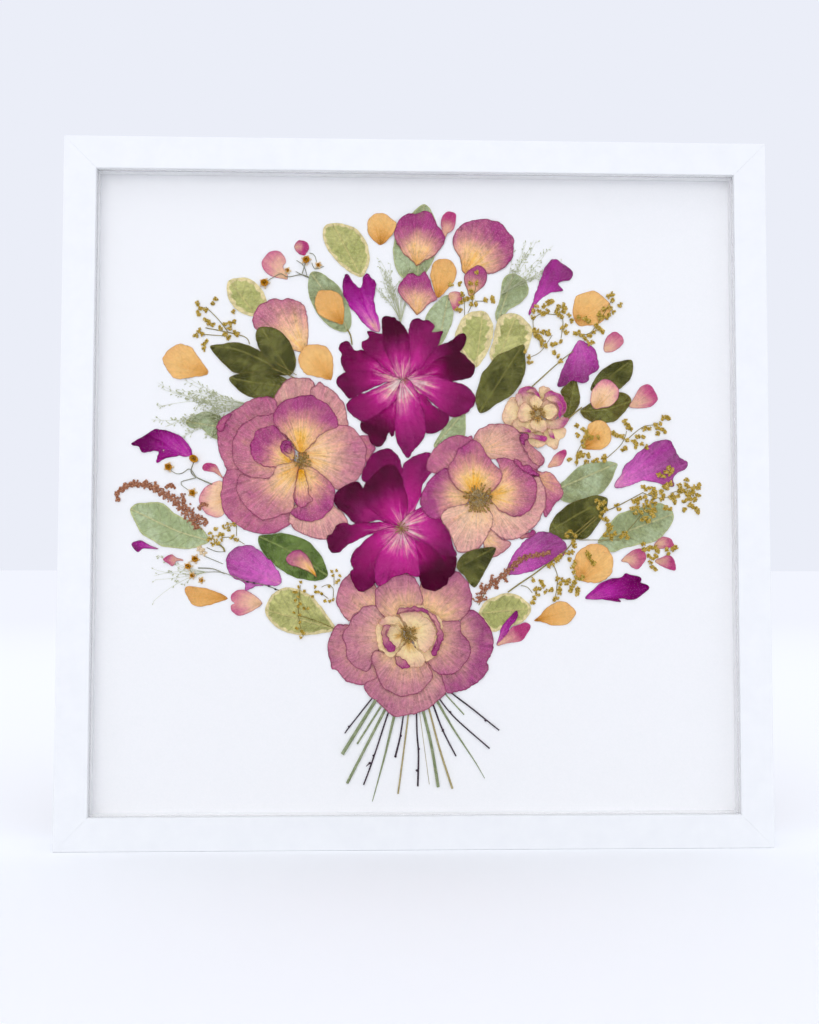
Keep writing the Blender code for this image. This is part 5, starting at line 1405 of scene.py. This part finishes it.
def square_ring(name, inner, outer, front, back, looks, slot, *nodes):
    """A square ring round the opening, with slightly rounded edges. With no inner size, a full pane."""
    bpy.ops.object.select_all(action="DESELECT")
    bpy.ops.mesh.primitive_plane_add(size=outer * MM, location=(0, front * MM, BOARD_CENTRE * MM),
                                     rotation=(pi / 2, 0, 0))
    piece = bpy.context.object
    bpy.ops.object.mode_set(mode="EDIT")
    bpy.ops.mesh.select_mode(type="FACE")
    bpy.ops.mesh.select_all(action="SELECT")
    if inner:
        bpy.ops.mesh.inset(thickness=(outer - inner) / 2 * MM)
        bpy.ops.mesh.delete(type="FACE")
    bpy.ops.object.mode_set(mode="OBJECT")
    wall = piece.modifiers.new("wall", "SOLIDIFY")
    wall.thickness = (back - front) * MM
    wall.offset = -1.0
    edge = piece.modifiers.new("edge", "BEVEL")
    edge.width = 0.15 * MM
    edge.segments = 2
    apply_all(piece)
    settle(piece)
    bpy.ops.object.shade_smooth_by_angle(angle=radians(20))
    return keep(piece, name, looks, slot, *nodes)


pane = square_ring("pane", 0, PANE, LIP_BACK + 0.3, GLASS_BACK, GLASS, "glass", "glass")
pane.visible_shadow = False
# White glazing tape closes the rebate round the pane, so that no dark slot shows behind the lip.
square_ring("glazing_tape", PANE + 0.5, 400.0, LIP_BACK + 0.02, GLASS_BACK - 0.02, SPACER, "spacer")
square_ring("spacer_strips", 390.0, 400.0, GLASS_BACK + 0.02, BOARD_FRONT - 0.02, SPACER, "spacer",
            "spacer_bottom", "spacer_top", "spacer_left", "spacer_right")


def tab_shape():
    """A bendable tab: a thin strip with a rounded end and a raised rib."""
    bpy.ops.mesh.bevel(offset=0.28, segments=4, affect="VERTICES")
    bpy.ops.mesh.select_all(action="SELECT")
    bpy.ops.mesh.inset(thickness=0.08)
    bpy.ops.mesh.extrude_region_move(TRANSFORM_OT_translate={"value": (0, 0, 0.02)})
    bpy.ops.mesh.inset(thickness=0.05)
    bpy.ops.mesh.extrude_region_move(TRANSFORM_OT_translate={"value": (0, 0, -0.015)})


def nail_shape():
    """A round nail head, slightly domed."""
    bpy.ops.mesh.extrude_region_move(TRANSFORM_OT_translate={"value": (0, 0, 0.16)})
    for step in (0.08, 0.12, 0.14):
        bpy.ops.mesh.inset(thickness=step)
        bpy.ops.transform.translate(value=(0, 0, 0.05))


TAB = small(bpy.ops.mesh.primitive_plane_add, tab_shape, size=1.0)
NAIL = small(bpy.ops.mesh.primitive_circle_add, nail_shape, vertices=20, radius=0.5, fill_type="NGON")
TAB_SIZE = (15.0, 6.0, 20.0)
TAB_DEPTH = 2.8 + 0.4     # on the back of the backing board
TAB_FROM_MIDDLE = 196.0 - TAB_SIZE[0] / 2   # each tab's outer end is in the rail
TAB_SPACING = 130.0
NAIL_SIZE = (4.6, 4.6, 2.4)
NAIL_FROM_MIDDLE = 18.5


def behind(shape, name, places, size):
    """Steel hardware on the back, facing away from the glass. A place is x, depth, height and a turn."""
    piece = copies(name, shape, [
        Matrix.Translation((x * MM, depth * MM, z * MM)) @ Matrix.Rotation(turn, 4, "Y")
        @ Matrix.Rotation(-pi / 2, 4, "X") @ Matrix.Diagonal((*[side * MM for side in size], 1.0))
        for x, depth, z, turn in places])
    only(piece)
    wall = piece.modifiers.new("wall", "SOLIDIFY")
    wall.thickness = 0.45 * MM
    wall.offset = 0.0
    apply_all(piece)
    bpy.ops.object.shade_smooth_by_angle(angle=radians(40))
    return keep(piece, name, STEEL, "steel")


tabs = []
for along in (-TAB_SPACING, 0, TAB_SPACING):
    for out in (-TAB_FROM_MIDDLE, TAB_FROM_MIDDLE):
        tabs.append((along, TAB_DEPTH, BOARD_CENTRE + out, pi / 2))
    for out in (-TAB_FROM_MIDDLE, TAB_FROM_MIDDLE):
        tabs.append((out, TAB_DEPTH, BOARD_CENTRE + along, 0.0))
behind(TAB, "backing_tabs", tabs, TAB_SIZE)
hanger_low, hanger_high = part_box("sawtooth_hanger")
behind(NAIL, "hanger_nails", [
    (x, hanger_high.y / MM + 0.1, (hanger_low.z + hanger_high.z) / 2 / MM, 0)
    for x in (-NAIL_FROM_MIDDLE, NAIL_FROM_MIDDLE)], NAIL_SIZE)

# ---------------------------------------------------------------- floor, light and camera

FLOOR_SIZE = 40.0         # in metres

# A plain pale floor, matt and even, a little greyer from 0.9 to 3 m out.
FLOOR, new, shader = new_looks("pale_paper_floor", 0.95, Specular_IOR_Level=0.0)
where = new("TexCoord")
far = new("VectorMath", {"operation": "LENGTH", 0: where.outputs["Object"]})
share = new("MapRange", {"interpolation_type": "SMOOTHSTEP", 0: far.outputs["Value"], 1: 0.9, 2: 3.0})
main = new("Mix", {"data_type": "RGBA", 0: share, 6: colour("FBFCFD"), 7: colour("F4F4F5")})
wire(shader, "Base Color", main.outputs[2])
bpy.ops.object.select_all(action="DESELECT")
bpy.ops.mesh.primitive_plane_add(size=1.0)
floor = bpy.context.object
floor.name = "floor"
bpy.ops.object.mode_set(mode="EDIT")
bpy.ops.mesh.select_all(action="SELECT")
bpy.ops.mesh.bevel(offset=0.3, segments=16, affect="VERTICES")
bpy.ops.transform.resize(value=(FLOOR_SIZE, FLOOR_SIZE, 1.0))
bpy.ops.object.mode_set(mode="OBJECT")
floor.data.materials.append(FLOOR)

scene = bpy.context.scene
world = bpy.data.worlds.new("studio")
world.use_nodes = True
world.node_tree.nodes["Background"].inputs["Color"].default_value = colour("EBEEF8")
world.node_tree.nodes["Background"].inputs["Strength"].default_value = 1.0
scene.world = world
# A wide warm light from the front, a little left and up, and a wider one from overhead.
for name, energy, spread, shine, source in (
        ("key", 0.36, 40, (1.0, 0.985, 0.96), (-0.14, -1.0, 0.2)),
        ("overhead", 0.45, 70, (1.0, 1.0, 1.0), (0.0, -0.3, 1.0))):
    sun = bpy.data.lights.new(name, "SUN")
    sun.energy = energy
    sun.angle = radians(spread)
    sun.color = shine
    lamp = bpy.data.objects.new(name, sun)
    lamp.matrix_world = Vector(source).to_track_quat("Z", "Y").to_matrix().to_4x4()
    scene.collection.objects.link(lamp)
scene.view_settings.view_transform = "Standard"

lens = bpy.data.cameras.new("camera")
lens.lens = 38.5
lens.sensor_width = 36.0
lens.clip_start = 0.01
camera = bpy.data.objects.new("camera", lens)
right = Vector((0.99957, -0.0292, 0.0013))
up = Vector((-0.00262, -0.04529, 0.99897))
eye = Vector((-0.0240, -0.6743, 0.1715))
back = right.cross(up)
camera.matrix_world = Matrix((
    (right.x, up.x, back.x, eye.x), (right.y, up.y, back.y, eye.y), (right.z, up.z, back.z, eye.z),
    (0, 0, 0, 1)))
scene.collection.objects.link(camera)
scene.camera = camera

bpy.context.view_layer.update()
